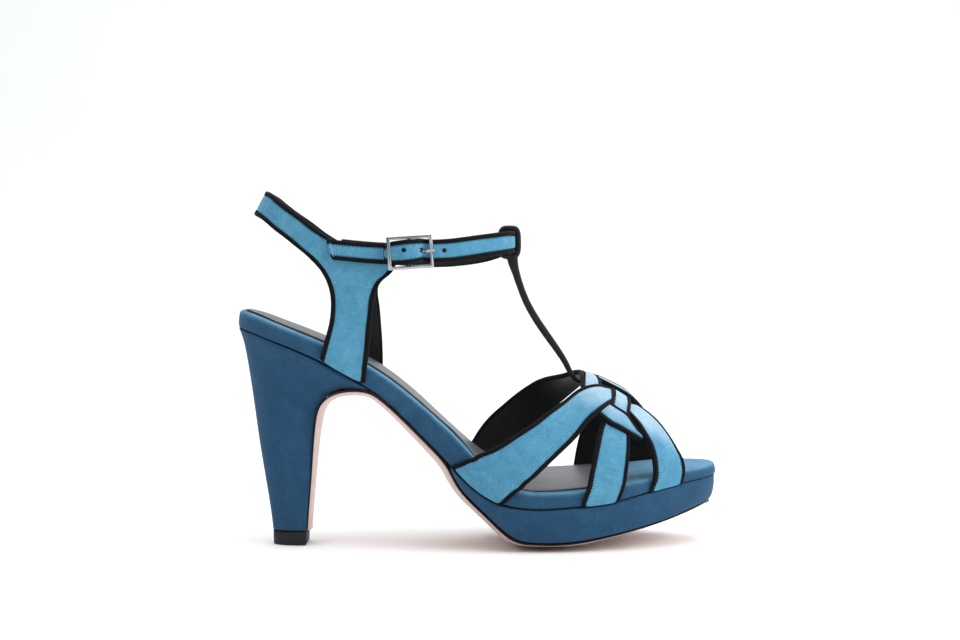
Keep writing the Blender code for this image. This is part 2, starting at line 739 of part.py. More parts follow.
def make_outsole():
    """The outsole: down the heel breast, under the waist, down the platform and under it."""
    x, z, middle, half = sole_path()
    nx, nz = path_normals(x, z)
    run = np.concatenate([[0.0], np.cumsum(np.hypot(np.diff(x), np.diff(z)))])
    runs = column(OUTSOLE_COLUMNS, OUTSOLE_MIDDLE, "run")
    thick = along(runs, column(OUTSOLE_COLUMNS, OUTSOLE_MIDDLE, "middle"), run)
    rings = []
    for i in range(len(x)):
        low = []
        for share in OUTSOLE_ACROSS:
            depth = thick[i] * (OUTSOLE_EDGE_SHARE if abs(share) == 1.0 else 1.0)
            height = max(z[i] + nz[i] * depth, 0.0)
            low.append((x[i] + nx[i] * depth, middle[i] + share * half[i], height))
        high = [(x[i], middle[i] + share * half[i], z[i]) for share in OUTSOLE_ACROSS]
        rings.append(np.array(high + low[::-1]))
    return loft("outsole", rings, "leather_pink", cap_pairs=True)


def heel_rings():
    """Rings of the heel from its foot to the heel seat."""
    breast_x = column(BREAST_COLUMNS, BREAST, "station")
    breast_z = column(BREAST_COLUMNS, BREAST, "height")
    run = np.concatenate([[0.0], np.cumsum(np.hypot(np.diff(breast_x), np.diff(breast_z)))])
    front_share = run / run[-1]
    nx, nz = path_normals(breast_x, breast_z)
    back_share = column(HEEL_BACK_COLUMNS, HEEL_BACK, "share")
    turn = np.linspace(HEEL_FIRST_POINT, 1.0, HEEL_SIDE_POINTS) * np.pi / 2
    spread = (1 - np.cos(turn)) ** HEEL_SPREAD_POWER
    top_x = HEEL_TOP_BACK + spread * (HEEL_TOP_FRONT - GAP - HEEL_TOP_BACK)
    top_half = half_width(top_x) + HEEL_OVERHANG
    foot_half = HEEL_FOOT_HALF * (1 - (1 - spread) ** HEEL_FOOT_POWER) ** (1 / HEEL_FOOT_POWER)
    rings = []
    for share in np.linspace(0.0, 1.0, HEEL_LEVELS):
        back_x = along(back_share, column(HEEL_BACK_COLUMNS, HEEL_BACK, "station"), share)
        back_z = along(back_share, column(HEEL_BACK_COLUMNS, HEEL_BACK, "height"), share)
        width = along(back_share, column(HEEL_BACK_COLUMNS, HEEL_BACK, "width_share"), share)
        front_x = np.interp(share, front_share, breast_x - nx * HEEL_FRONT_GAP)
        front_z = np.interp(share, front_share, breast_z - nz * HEEL_FRONT_GAP)
        x = back_x + spread * (front_x - back_x)
        straight = back_z + spread * (front_z - back_z)
        seat = sole("seam", np.clip(x, 0.0, LENGTH)) - GAP
        late = HEEL_SEAT_POWER * (1 + HEEL_SEAT_FRONT * spread**HEEL_SEAT_FRONT_POWER)
        z = straight + (seat - straight) * share**late
        half = foot_half + (top_half - foot_half) * width
        outer = np.stack([x, -half, z], -1)
        inner = np.stack([x, half, z], -1)
        rings.append(np.concatenate([outer, inner[::-1]]))
    return rings


def make_heel():
    """The heel block."""
    return loft("heel", heel_rings(), "suede_dark", cap_pairs=True)


def make_top_lift():
    """The rubber piece under the heel."""
    foot = heel_rings()[0]
    rings = []
    heights, sizes = (column(LIFT_COLUMNS, LIFT, name) for name in LIFT_COLUMNS)
    middle = foot[:, :2].mean(axis=0)
    for height, size in zip(heights, sizes):
        ring = foot.copy()
        ring[:, :2] = middle + (ring[:, :2] - middle) * size
        ring[:, 2] = height
        rings.append(ring)
    return loft("top_lift", rings, "rubber_black", cap_pairs=True)


def join(obj, others, operation="UNION"):
    """Boolean modifiers that join or cut hidden helper objects."""
    for other in others:
        other.hide_render = True
        other.display_type = "WIRE"
        made = obj.modifiers.new(other.name, "BOOLEAN")
        made.operation = operation
        made.solver = "EXACT"
        made.object = other
    return obj


def vamp_strap(name, rows, steps):
    """One strap of the vamp from its table."""
    rear, rear_round, front, front_round, lift = (
        column(STRAP_COLUMNS, rows, part) for part in STRAP_COLUMNS
    )
    edges = (np.stack([rear, rear_round], -1), np.stack([front, front_round], -1))
    return strip(name, FOOT, edges, lift, STRAP_WALL, "suede_light", steps, filled=True)


def make_vamp():
    """The braided straps over the forefoot, joined where they cross."""
    body = vamp_strap("vamp", OUTER_REAR_STRAP, 34)
    helpers = [
        vamp_strap("vamp_inner_rear", INNER_REAR_STRAP, 32),
        vamp_strap("vamp_middle", MIDDLE_STRAP, 32),
        vamp_strap("vamp_outer_front", OUTER_FRONT_STRAP, 16),
        vamp_strap("vamp_ring", RING_STRAP, 14),
    ]
    return join(body, helpers)


def quarter_edges(front, ahead, lower, turned):
    """The rear and front edge of one side strap, from its foot to the middle of the sling."""
    table = {part: column(QUARTER_COLUMNS, QUARTER, part) for part in QUARTER_COLUMNS}
    fade = np.linspace(1.0, 0.0, len(QUARTER))
    drop = lower * table["inner_drop"]
    edges = []
    for stations, heights in (
        (table["rear"] + ahead * fade, table["rear_height"] - drop),
        (table[front], table["front_height"] - drop),
    ):
        turns = turned * ankle_turn(stations, heights)
        turns[-1] = 0.0
        edges.append(np.stack([turns, heights], -1))
    return edges


def make_quarter():
    """Both side straps and the sling, as one band from seam to seam round the back."""
    inner = quarter_edges("inner_front", INNER_AHEAD, 1.0, 1.0)
    outer = quarter_edges("front", 0.0, 0.0, -1.0)
    edges = [np.concatenate([one, other[-2::-1]]) for one, other in zip(inner, outer)]
    lift = np.zeros(len(edges[0]))
    return strip("quarter", ANKLE_ROUND, edges, lift, STRAP_WALL, "suede_light", QUARTER_STEPS)


def band(name, turns, low, high, lift, wall, steps):
    """A strap round the ankle from its turns, its two edges and its lift."""
    edges = (np.stack([turns, low], -1), np.stack([turns, high], -1))
    return strip(name, ANKLE_ROUND, edges, lift, wall, "suede_light", steps)


def buckle_frame_axes():
    """The middle of the buckle and its axes: along the strap, up, and off the foot."""
    turn = 360.0 - ankle_turn(BUCKLE_STATION, BUCKLE_HEIGHT)
    foot = ankle_point(turn, BUCKLE_HEIGHT)
    normal = ANKLE_ROUND.normal(np.array(turn), np.array(BUCKLE_HEIGHT))
    normal = np.array([normal[0], normal[1], 0.0])
    normal /= np.linalg.norm(normal)
    ahead = np.cross(np.array([0.0, 0.0, 1.0]), normal)
    ahead = ahead if ahead[0] > 0 else -ahead
    yaw = np.radians(BUCKLE_YAW)
    ahead, normal = (
        ahead * np.cos(yaw) - normal * np.sin(yaw),
        normal * np.cos(yaw) + ahead * np.sin(yaw),
    )
    roll = np.radians(BUCKLE_ROLL)
    up = np.array([0.0, 0.0, 1.0])
    ahead, up = ahead * np.cos(roll) + up * np.sin(roll), up * np.cos(roll) - ahead * np.sin(roll)
    return foot + normal * BUCKLE_OFF, ahead, up, normal


def middle_bar():
    """The middle of the buckle's middle bar, which is cranked towards the foot, and the axes."""
    middle, ahead, up, off = buckle_frame_axes()
    return middle - off * MIDDLE_BAR_DROP, ahead, up, off


def tube(name, points, radius, up, sides, colour):
    """A round rod through points."""
    points = np.asarray(points, float)
    turn = (np.arange(sides) + 0.5) * 2 * np.pi / sides
    rings = []
    for point, way in zip(points, np.gradient(points, axis=0)):
        across = np.cross(way, up)
        across /= np.linalg.norm(across)
        rise = np.cross(across, way)
        rise /= np.linalg.norm(rise)
        ring = across * np.cos(turn)[:, None] + rise * np.sin(turn)[:, None]
        rings.append(point + ring * radius)
    return loft(name, rings, colour)


def eye(name, half, wall, colour):
    """A short pipe round the middle bar of the buckle."""
    middle, ahead, up, off = middle_bar()
    inner = MIDDLE_BAR_RADIUS + GAP
    outer = inner + wall
    turn = np.arange(EYE_SIDES) * 2 * np.pi / EYE_SIDES
    spoke = ahead * np.cos(turn)[:, None] + off * np.sin(turn)[:, None]
    rings = []
    for radius, side in ((inner, -half), (inner, half), (outer, half), (outer, -half)):
        rings.append(middle + spoke * radius + up * side)
    return hoop(name, rings, colour)


def block(name, middle, axes, halves, colour):
    """A box by its middle, three axes and three half sizes."""
    signs = [(a, b, c) for a in (-1, 1) for b in (-1, 1) for c in (-1, 1)]
    points = [
        middle + sum(axis * half * sign for axis, half, sign in zip(axes, halves, corner))
        for corner in signs
    ]
    faces = [(0, 1, 3, 2), (4, 6, 7, 5), (0, 4, 5, 1), (2, 3, 7, 6), (0, 2, 6, 4), (1, 5, 7, 3)]
    return add_mesh(name, points, faces, colour)


def make_buckle_frame():
    """The square frame with its middle bar."""
    middle, ahead, up, off = buckle_frame_axes()
    long, wide, deep = BUCKLE_LENGTH / 2, BUCKLE_WIDTH / 2, BUCKLE_DEPTH / 2
    rings = []
    for inset, rise in (
        (BUCKLE_BAR, -deep),
        (BUCKLE_BAR, deep - BUCKLE_EASE),
        (BUCKLE_BAR - BUCKLE_EASE, deep),
        (BUCKLE_EASE, deep),
        (0.0, deep - BUCKLE_EASE),
        (0.0, -deep),
    ):
        rings.append(np.array([
            middle + ahead * a * (long - inset) + up * b * (wide - inset) + off * rise
            for a, b in ((-1, -1), (1, -1), (1, 1), (-1, 1))
        ]))
    frame = hoop("buckle_frame", rings, "chrome")
    end, knee = wide - BUCKLE_BAR / 2, wide - BUCKLE_BAR - MIDDLE_BAR_KNEE
    cranked = ((-end, 0.0), (-knee, MIDDLE_BAR_DROP), (knee, MIDDLE_BAR_DROP), (end, 0.0))
    path = [middle + up * side - off * drop for side, drop in cranked]
    return join(frame, [tube("bar", path, MIDDLE_BAR_RADIUS, ahead, MIDDLE_BAR_SIDES, "chrome")])


def prong_rod(name, radius, colour):
    """A rod along the prong, from the middle bar to its tip on the front bar."""
    middle, ahead, up, off = buckle_frame_axes()
    reaches, rises = (column(PRONG_COLUMNS, PRONG, part) for part in PRONG_COLUMNS)
    points = [middle + ahead * reach + off * rise for reach, rise in zip(reaches, rises)]
    return tube(name, points, radius, up, PRONG_SIDES, colour)


def make_buckle_prong():
    """The prong: an eye round the middle bar and a rod through the strap."""
    body = eye("buckle_prong", PRONG_EYE_HALF, PRONG_EYE_WALL, "chrome")
    return join(body, [prong_rod("prong_rod", PRONG_RADIUS, "chrome")])


def make_buckle_tab():
    """The tab on the outer side strap, with an eye round the middle bar."""
    station, low, high, lift = (column(TAB_COLUMNS, TAB, part) for part in TAB_COLUMNS)
    turns = 360.0 - ankle_turn(station, (low + high) / 2)
    body = band("buckle_tab", turns, low, high, lift, TAB_WALL, TAB_STEPS)
    fold_half = BUCKLE_WIDTH / 2 - BUCKLE_BAR - TAB_EYE_CLEAR
    fold = eye("tab_eye", fold_half, TAB_EYE_WALL, "suede_light")
    middle, ahead, up, off = middle_bar()
    halves = (TAB_SLOT_LONG, PRONG_EYE_HALF + 2 * GAP, TAB_SLOT_DEEP)
    middle = middle + ahead * TAB_SLOT_AHEAD
    slot = block("tab_slot", middle, (ahead, up, off), halves, "suede_light")
    return join(join(body, [fold]), [slot], "DIFFERENCE")


def make_ankle_strap():
    """The long strap from the inner side strap round the front to the buckle."""
    turn, low, high, lift = (column(LONG_COLUMNS, LONG_STRAP, part) for part in LONG_COLUMNS)
    body = band("ankle_strap", turn, low, high, lift, ANKLE_WALL, LONG_STEPS)
    hole = prong_rod("strap_hole", PRONG_RADIUS + 2 * GAP, "suede_light")
    return join(body, [hole], "DIFFERENCE")


def make_t_loop(side):
    """The loop at the top of the instep strap, round the ankle strap."""
    turn = np.arange(LOOP_SIDES) * 2 * np.pi / LOOP_SIDES
    cosine = np.sign(np.cos(turn)) * np.abs(np.cos(turn)) ** LOOP_POWER
    sine = np.sign(np.sin(turn)) * np.abs(np.sin(turn)) ** LOOP_POWER
    half = INSTEP_WIDTH / 2
    rings = []
    for grow, edge in ((0.0, -half), (0.0, half), (LOOP_WALL, half), (LOOP_WALL, -half)):
        x = (LOOP_FRONT + LOOP_BACK) / 2 + cosine * ((LOOP_FRONT - LOOP_BACK) / 2 + grow)
        z = (LOOP_HIGH + LOOP_LOW) / 2 + sine * ((LOOP_HIGH - LOOP_LOW) / 2 + grow)
        rings.append(np.stack([x, np.full(len(turn), side + edge), z], -1))
    return hoop("t_loop", rings, "leather_black")


def make_t_strap():
    """The narrow strap up the instep with its loop round the ankle strap."""
    rows = np.arange(len(INSTEP))
    at = np.linspace(0, len(INSTEP) - 1, INSTEP_STEPS)
    x, y, z, wall = (along(rows, column(INSTEP_COLUMNS, INSTEP, part), at) for part in INSTEP_COLUMNS)
    nx, nz = path_normals(x, z)
    sides = column(SECTION_COLUMNS, INSTEP_SECTION, "side") * INSTEP_WIDTH / 2
    thicks = column(SECTION_COLUMNS, INSTEP_SECTION, "thick")
    rings = []
    for i in range(len(at)):
        reach = wall[i] * thicks
        rings.append(np.stack([x[i] - nx[i] * reach, y[i] + sides, z[i] - nz[i] * reach], -1))
    return join(loft("t_strap", rings, "leather_black"), [make_t_loop(y[-1])])


def main():
    """Clears the scene and makes each piece under one empty."""
    for obj in list(bpy.data.objects):
        bpy.data.objects.remove(obj, do_unlink=True)
    root = bpy.data.objects.new("sandal", None)
    bpy.context.scene.collection.objects.link(root)
    pieces = (
        make_top_lift(),
        make_heel(),
        make_outsole(),
        make_platform(),
        make_insole(),
        make_vamp(),
        make_quarter(),
        make_buckle_tab(),
        make_ankle_strap(),
        make_t_strap(),
        make_buckle_frame(),
        make_buckle_prong(),
    )
    for piece in pieces:
        piece.parent = root


if __name__ == "__main__":
    main()
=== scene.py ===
"""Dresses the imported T-strap platform sandal: bound suede straps, a suede wrapped sole and a buckle.

Sizes are millimetres in the maker's frame: stations run from the back of the heel to the toe, the
outer side of the foot is -Y and heights start at the floor. They become metres in the shared frame
when a mesh is made.
"""

import json
import logging
import math
from dataclasses import dataclass
from enum import Enum

import bpy
import numpy as np
from mathutils import Matrix, Vector

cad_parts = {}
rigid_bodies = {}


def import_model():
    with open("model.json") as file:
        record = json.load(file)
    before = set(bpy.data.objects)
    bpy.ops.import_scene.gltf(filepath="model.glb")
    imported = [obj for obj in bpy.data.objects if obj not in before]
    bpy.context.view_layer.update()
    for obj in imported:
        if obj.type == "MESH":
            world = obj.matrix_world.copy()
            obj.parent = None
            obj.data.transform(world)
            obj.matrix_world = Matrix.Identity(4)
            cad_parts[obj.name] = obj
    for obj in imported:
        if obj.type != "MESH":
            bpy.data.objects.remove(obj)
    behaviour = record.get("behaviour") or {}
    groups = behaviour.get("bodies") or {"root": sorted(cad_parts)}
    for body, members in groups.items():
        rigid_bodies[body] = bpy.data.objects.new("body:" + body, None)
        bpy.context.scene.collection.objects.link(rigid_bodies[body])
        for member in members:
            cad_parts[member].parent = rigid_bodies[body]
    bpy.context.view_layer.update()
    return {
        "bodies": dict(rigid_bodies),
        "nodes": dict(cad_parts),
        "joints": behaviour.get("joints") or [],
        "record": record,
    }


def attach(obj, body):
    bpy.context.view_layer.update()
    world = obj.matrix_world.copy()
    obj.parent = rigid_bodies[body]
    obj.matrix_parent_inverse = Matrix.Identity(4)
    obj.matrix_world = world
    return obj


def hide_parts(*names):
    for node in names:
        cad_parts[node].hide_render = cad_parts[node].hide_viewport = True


LOG = logging.getLogger("sandal")
MM = 0.001
BODY = "root"
ORIGIN = np.array([109.5, 0.7, 0.0])
# The vertex attribute that mixes in a finish's painted highlight and shade colours.
PAINTED_LIGHT = "painted_light"
FULL_TURN = 360.0
Array = np.ndarray
Object = bpy.types.Object


def along(xs: Array, ys: Array, at: Array) -> Array:
    """Reads a smooth curve through points.

    Args:
        xs: Rising places of the points.
        ys: Heights of the points.
        at: Places to read.

    Returns:
        The heights at those places.
    """
    xs, ys, at = np.asarray(xs, float), np.asarray(ys, float), np.asarray(at, float)
    slopes = np.gradient(ys, xs)
    k = np.clip(np.searchsorted(xs, at, side="right") - 1, 0, len(xs) - 2)
    width = xs[k + 1] - xs[k]
    u = np.clip((at - xs[k]) / width, 0.0, 1.0)
    rise = ys[k] * (1 + 2 * u) * (1 - u) ** 2 + ys[k + 1] * u * u * (3 - 2 * u)
    return rise + width * u * (1 - u) * (slopes[k] * (1 - u) - slopes[k + 1] * u)


def ease(share: Array) -> Array:
    """A share from 0 to 1, clipped and eased at both ends."""
    clipped = np.clip(share, 0.0, 1.0)
    return clipped * clipped * (3 - 2 * clipped)


@dataclass(frozen=True)
class Table:
    """A short table with named columns."""

    columns: tuple[str, ...]
    rows: tuple[tuple[float, ...], ...]

    def column(self, name: str) -> Array:
        """One column as an array."""
        return np.array([row[self.columns.index(name)] for row in self.rows], float)

    def read(self, name: str, at: Array) -> Array:
        """A column read smoothly at places of the first column."""
        return along(self.column(self.columns[0]), self.column(name), at)


SOLE = Table(
    ("station", "seam", "footbed", "bank", "middle", "half"),
    (
        (0.0, 100.3, 109.2, -0.8, 0.0, 22.5),
        (10.0, 97.2, 106.3, -1.2, 0.0, 24.4),
        (20.0, 93.6, 102.2, -1.2, 0.0, 25.3),
        (30.0, 89.6, 98.2, -1.2, 0.0, 26.1),
        (40.0, 85.0, 94.0, -1.2, -0.2, 26.3),
        (50.0, 79.5, 89.2, -1.0, -0.6, 25.6),
        (60.0, 73.5, 83.9, -1.1, -1.0, 24.6),
        (70.0, 65.5, 77.2, -1.4, -1.4, 23.8),
        (80.0, 55.8, 69.2, -1.8, -1.8, 24.0),
        (90.0, 46.0, 60.1, -3.0, -2.3, 25.7),
        (100.0, 35.6, 50.9, -4.0, -2.4, 28.8),
        (110.0, 26.2, 40.7, -1.4, -2.0, 32.7),
        (120.0, 21.2, 32.8, 1.4, -1.4, 36.1),
        (130.0, 19.6, 29.2, 3.0, -0.8, 38.5),
        (140.0, 19.3, 28.8, 3.0, -0.2, 39.9),
        (150.0, 20.1, 29.2, 2.6, 0.3, 40.3),
        (160.0, 20.8, 29.9, 2.2, 1.0, 39.8),
        (170.0, 21.9, 30.9, 1.8, 1.9, 38.3),
        (180.0, 24.2, 32.3, 1.4, 2.9, 35.8),
        (190.0, 26.6, 33.8, 0.9, 3.8, 33.0),
        (200.0, 28.3, 35.0, 0.5, 4.5, 30.2),
        (208.0, 29.3, 35.7, 0.2, 5.1, 27.8),
        (214.0, 30.0, 36.1, 0.0, 5.6, 26.0),
        (219.0, 30.6, 36.4, 0.0, 6.0, 24.5),
    ),
)
RIDGE = Table(
    ("station", "height", "side"),
    (
        (90.0, 112.0, 2.0),
        (110.0, 100.0, 3.0),
        (130.0, 86.5, 4.0),
        (140.0, 79.0, 4.5),
        (149.0, 75.6, 5.0),
        (157.0, 75.2, 5.0),
        (163.0, 73.2, 5.2),
        (169.0, 69.0, 5.5),
        (175.0, 65.0, 5.8),
        (182.0, 60.6, 6.0),
        (190.0, 55.4, 6.0),
        (198.0, 46.4, 6.0),
        (206.0, 39.6, 6.0),
        (219.0, 37.0, 6.0),
    ),
)
ANKLE = Table(
    ("height", "back", "half"),
    (
        (70.0, 7.4, 26.4),
        (100.0, 7.4, 26.4),
        (125.0, 8.6, 26.0),
        (150.0, 9.2, 25.2),
        (156.0, 12.2, 25.0),
        (162.0, 15.6, 24.8),
    ),
)
# Straps over the forefoot. Each edge is a station and a place round the foot: -1 at the outer edge
# of the footbed, 0 on the ridge, 1 at the inner edge and 1.2 down at the seam.
CROSSING = ("rear", "rear_round", "front", "front_round", "lift")
OUTER_REAR = Table(
    CROSSING,
    (
        (97.3, -1.2, 120.4, -1.2, 0.0),
        (102.3, -1.108, 124.4, -1.11, 0.0),
        (107.6, -1.008, 129.2, -1.01, 0.0),
        (116.0, -0.918, 136.0, -0.951, 0.0),
        (125.0, -0.812, 142.4, -0.879, 0.0),
        (134.0, -0.696, 148.6, -0.8, 0.0),
        (142.0, -0.562, 154.6, -0.717, 0.3),
        (149.6, -0.444, 159.2, -0.622, 1.0),
        (156.2, -0.352, 163.0, -0.55, 1.8),
        (161.6, -0.275, 166.6, -0.452, 1.9),
        (166.0, -0.18, 170.4, -0.33, 1.2),
        (170.4, 0.0, 174.8, -0.12, 0.3),
        (173.5, 0.18, 179.0, 0.1, 0.0),
        (175.5, 0.36, 184.0, 0.3, 0.0),
        (176.5, 0.53, 189.0, 0.47, 0.8),
        (177.0, 0.7, 192.5, 0.66, 1.2),
        (177.2, 0.86, 194.5, 0.84, 0.6),
        (177.4, 1.0, 195.6, 1.0, 0.0),
        (177.6, 1.2, 196.2, 1.2, 0.0),
    ),
)
INNER_REAR = Table(
    CROSSING,
    (
        (99.5, 1.2, 119.0, 1.2, 0.0),
        (103.5, 1.08, 121.5, 1.1, 0.0),
        (109.2, 0.96, 126.5, 1.0, 0.0),
        (116.0, 0.83, 133.0, 0.9, 0.0),
        (124.0, 0.695, 140.0, 0.76, 0.0),
        (132.0, 0.545, 147.6, 0.58, 0.0),
        (140.0, 0.36, 155.4, 0.42, 0.0),
        (150.2, 0.17, 160.6, 0.25, 0.5),
        (156.0, 0.02, 163.6, 0.06, 1.0),
        (156.3, -0.16, 164.8, -0.12, 1.0),
        (156.5, -0.33, 165.2, -0.26, 0.4),
        (159.5, -0.5, 167.0, -0.365, 0.7),
        (165.6, -0.6, 170.6, -0.415, 1.6),
        (171.6, -0.625, 175.4, -0.44, 1.6),
        (177.6, -0.65, 179.6, -0.53, 0.8),
        (182.5, -0.665, 183.6, -0.6, 0.0),
    ),
)
MIDDLE = Table(
    CROSSING,
    (
        (155.2, -1.2, 172.4, -1.2, 0.0),
        (156.8, -1.08, 173.8, -1.1, 0.0),
        (158.7, -0.975, 175.3, -0.99, 0.0),
        (160.5, -0.88, 176.4, -0.88, 0.0),
        (162.0, -0.78, 177.0, -0.76, 0.0),
        (163.5, -0.665, 177.1, -0.66, 0.0),
        (165.6, -0.55, 176.9, -0.55, 0.2),
        (167.8, -0.42, 176.8, -0.41, 1.2),
        (168.4, -0.3, 177.4, -0.27, 1.9),
        (168.8, -0.14, 177.4, -0.1, 1.6),
        (169.0, 0.08, 176.8, 0.08, 0.5),
        (167.4, 0.3, 176.5, 0.3, 0.0),
        (163.5, 0.6, 175.2, 0.6, 0.0),
        (158.8, 0.78, 174.0, 0.78, 0.0),
        (156.2, 0.915, 172.0, 0.93, 0.0),
        (154.0, 1.06, 169.2, 1.06, 0.0),
        (153.0, 1.2, 168.0, 1.2, 0.0),
    ),
)
OUTER_FRONT = Table(
    CROSSING,
    (
        (186.0, -1.2, 201.8, -1.2, 0.0),
        (187.8, -1.04, 202.0, -1.04, 0.0),
        (187.4, -0.87, 201.4, -0.86, 0.3),
        (185.4, -0.71, 199.6, -0.71, 1.0),
        (182.0, -0.575, 195.6, -0.5, 1.4),
        (179.2, -0.475, 191.0, -0.32, 1.2),
        (176.6, -0.4, 186.6, -0.17, 0.8),
        (174.0, -0.3, 182.5, -0.04, 0.2),
    ),
)
RING = Table(
    CROSSING,
    (
        (161.0, -0.04, 160.0, 0.14, 0.2),
        (165.0, -0.1, 164.6, 0.08, 1.6),
        (170.0, -0.12, 170.0, 0.06, 2.7),
        (175.0, -0.12, 175.0, 0.06, 3.0),
        (180.0, -0.08, 179.6, 0.1, 2.0),
        (184.5, 0.0, 183.5, 0.18, 0.3),
    ),
)
# One side strap from its foot at the seam up and round to the middle of the sling.
SIDE = Table(
    ("rear", "rear_height", "front", "front_height", "inner_front", "inner_drop"),
    (
        (39.0, 86.2, 59.2, 74.5, 63.6, 1.0),
        (40.3, 90.5, 60.0, 82.0, 64.2, 1.0),
        (41.8, 96.0, 61.3, 92.0, 64.2, 1.0),
        (43.6, 102.5, 62.2, 101.0, 63.6, 0.9),
        (44.5, 109.0, 63.2, 109.0, 62.9, 0.9),
        (44.4, 115.5, 64.3, 115.8, 62.0, 0.8),
        (43.0, 121.0, 67.0, 121.4, 63.5, 0.8),
        (40.6, 125.8, 71.8, 125.4, 67.6, 0.8),
        (38.4, 128.6, 73.6, 130.5, 70.0, 0.9),
        (36.0, 131.2, 67.6, 136.8, 66.0, 1.1),
        (33.1, 134.0, 57.0, 138.2, 56.5, 1.4),
        (30.5, 136.1, 47.0, 139.7, 47.0, 1.7),
        (28.4, 137.8, 39.5, 144.2, 39.5, 2.0),
        (24.2, 141.2, 32.0, 150.2, 32.0, 2.1),
        (19.2, 144.9, 25.8, 154.6, 25.8, 2.0),
        (15.2, 148.2, 21.2, 158.2, 21.2, 1.7),
        (11.8, 150.2, 17.8, 160.8, 17.8, 1.2),
        (9.4, 150.9, 15.7, 161.8, 15.7, 0.0),
    ),
)
TAB = Table(
    ("station", "low", "high", "lift"),
    (
        (44.2, 131.4, 140.4, 2.5),
        (52.0, 130.6, 139.5, 2.5),
        (62.0, 129.6, 138.6, 2.5),
        (70.0, 129.1, 138.1, 2.5),
        (73.7, 129.2, 138.1, 2.45),
        (75.9, 129.5, 138.2, 1.9),
        (77.7, 130.1, 138.5, 1.55),
        (79.1, 130.3, 138.5, 1.5),
    ),
)
LONG = Table(
    ("turn", "low", "high", "lift"),
    (
        (75.0, 130.1, 140.0, 2.5),
        (88.0, 128.6, 138.5, 2.5),
        (98.0, 127.4, 137.4, 2.4),
        (108.0, 126.6, 136.6, 1.4),
        (122.0, 126.9, 136.9, 0.6),
        (140.0, 128.8, 138.8, 0.4),
        (160.0, 132.0, 142.0, 0.3),
        (180.0, 133.3, 143.3, 0.3),
        (200.0, 133.1, 143.1, 0.3),
        (216.0, 132.1, 142.2, 0.4),
        (228.0, 130.9, 141.2, 0.5),
        (238.0, 129.9, 140.2, 0.6),
        (245.4, 129.6, 139.8, 0.7),
        (248.6, 129.8, 140.0, 0.7),
        (250.2, 130.2, 140.1, 0.85),
        (251.3, 130.3, 140.2, 2.1),
        (253.1, 129.8, 140.2, 5.0),
        (254.8, 129.4, 140.0, 6.4),
        (257.5, 129.0, 139.8, 6.75),
        (259.4, 128.8, 139.6, 6.1),
        (261.2, 128.7, 139.3, 5.15),
        (263.4, 128.7, 138.9, 4.65),
        (266.0, 129.4, 138.0, 4.6),
    ),
)
INSTEP = Table(
    ("station", "side", "height", "half_wall"),
    (
        (161.0, 5.0, 71.6, 0.8),
        (158.2, 4.9, 72.6, 0.9),
        (155.0, 4.8, 74.1, 1.0),
        (152.3, 4.6, 78.0, 1.25),
        (150.0, 4.4, 82.6, 1.4),
        (146.5, 4.0, 88.2, 1.55),
        (141.3, 3.5, 95.7, 1.7),
        (136.4, 3.0, 103.1, 1.7),
        (132.4, 2.4, 110.5, 1.65),
        (129.5, 1.8, 118.0, 1.65),
        (127.5, 1.3, 124.4, 1.85),
        (126.4, 1.1, 128.4, 2.3),
        (125.9, 1.0, 131.8, 2.7),
    ),
)
# The section of a bound strap. The binding is laid over each edge: how far in from the edge, the
# share of the wall and the rise above it. The suede lies between, and the lining closes the back.
BINDING_EDGE = Table(
    ("offset", "share", "rise"),
    (
        (0.35, 0.0, 0.0),
        (-0.05, 0.18, 0.0),
        (-0.25, 0.5, 0.0),
        (-0.1, 0.85, 0.05),
        (0.35, 1.0, 0.2),
        (1.1, 1.0, 0.36),
        (1.8, 1.0, 0.3),
        (2.15, 1.0, 0.1),
        (2.3, 1.0, -0.12),
    ),
)
SUEDE_FACE = Table(
    ("place", "rise"),
    (
        (0.015, -0.1),
        (0.1, 0.03),
        (0.35, 0.12),
        (0.65, 0.12),
        (0.9, 0.03),
        (0.985, -0.1),
    ),
)
LINING_BACK = Table(("place",), ((0.75,), (0.5,), (0.25,)))
HOLES = Table(
    ("station", "height"),
    (
        (77.1, 135.2),
        (84.8, 135.2),
        (94.9, 135.0),
    ),
)


class Wrap(Enum):
    """Which part of the foot a strap lies on."""

    FOREFOOT = "forefoot"
    ANKLE = "ankle"


class End(Enum):
    """How the end of a strap is finished."""

    TUCKED = "tucked into the seam"
    CUT = "cut square"
    ROUNDED = "rounded off"


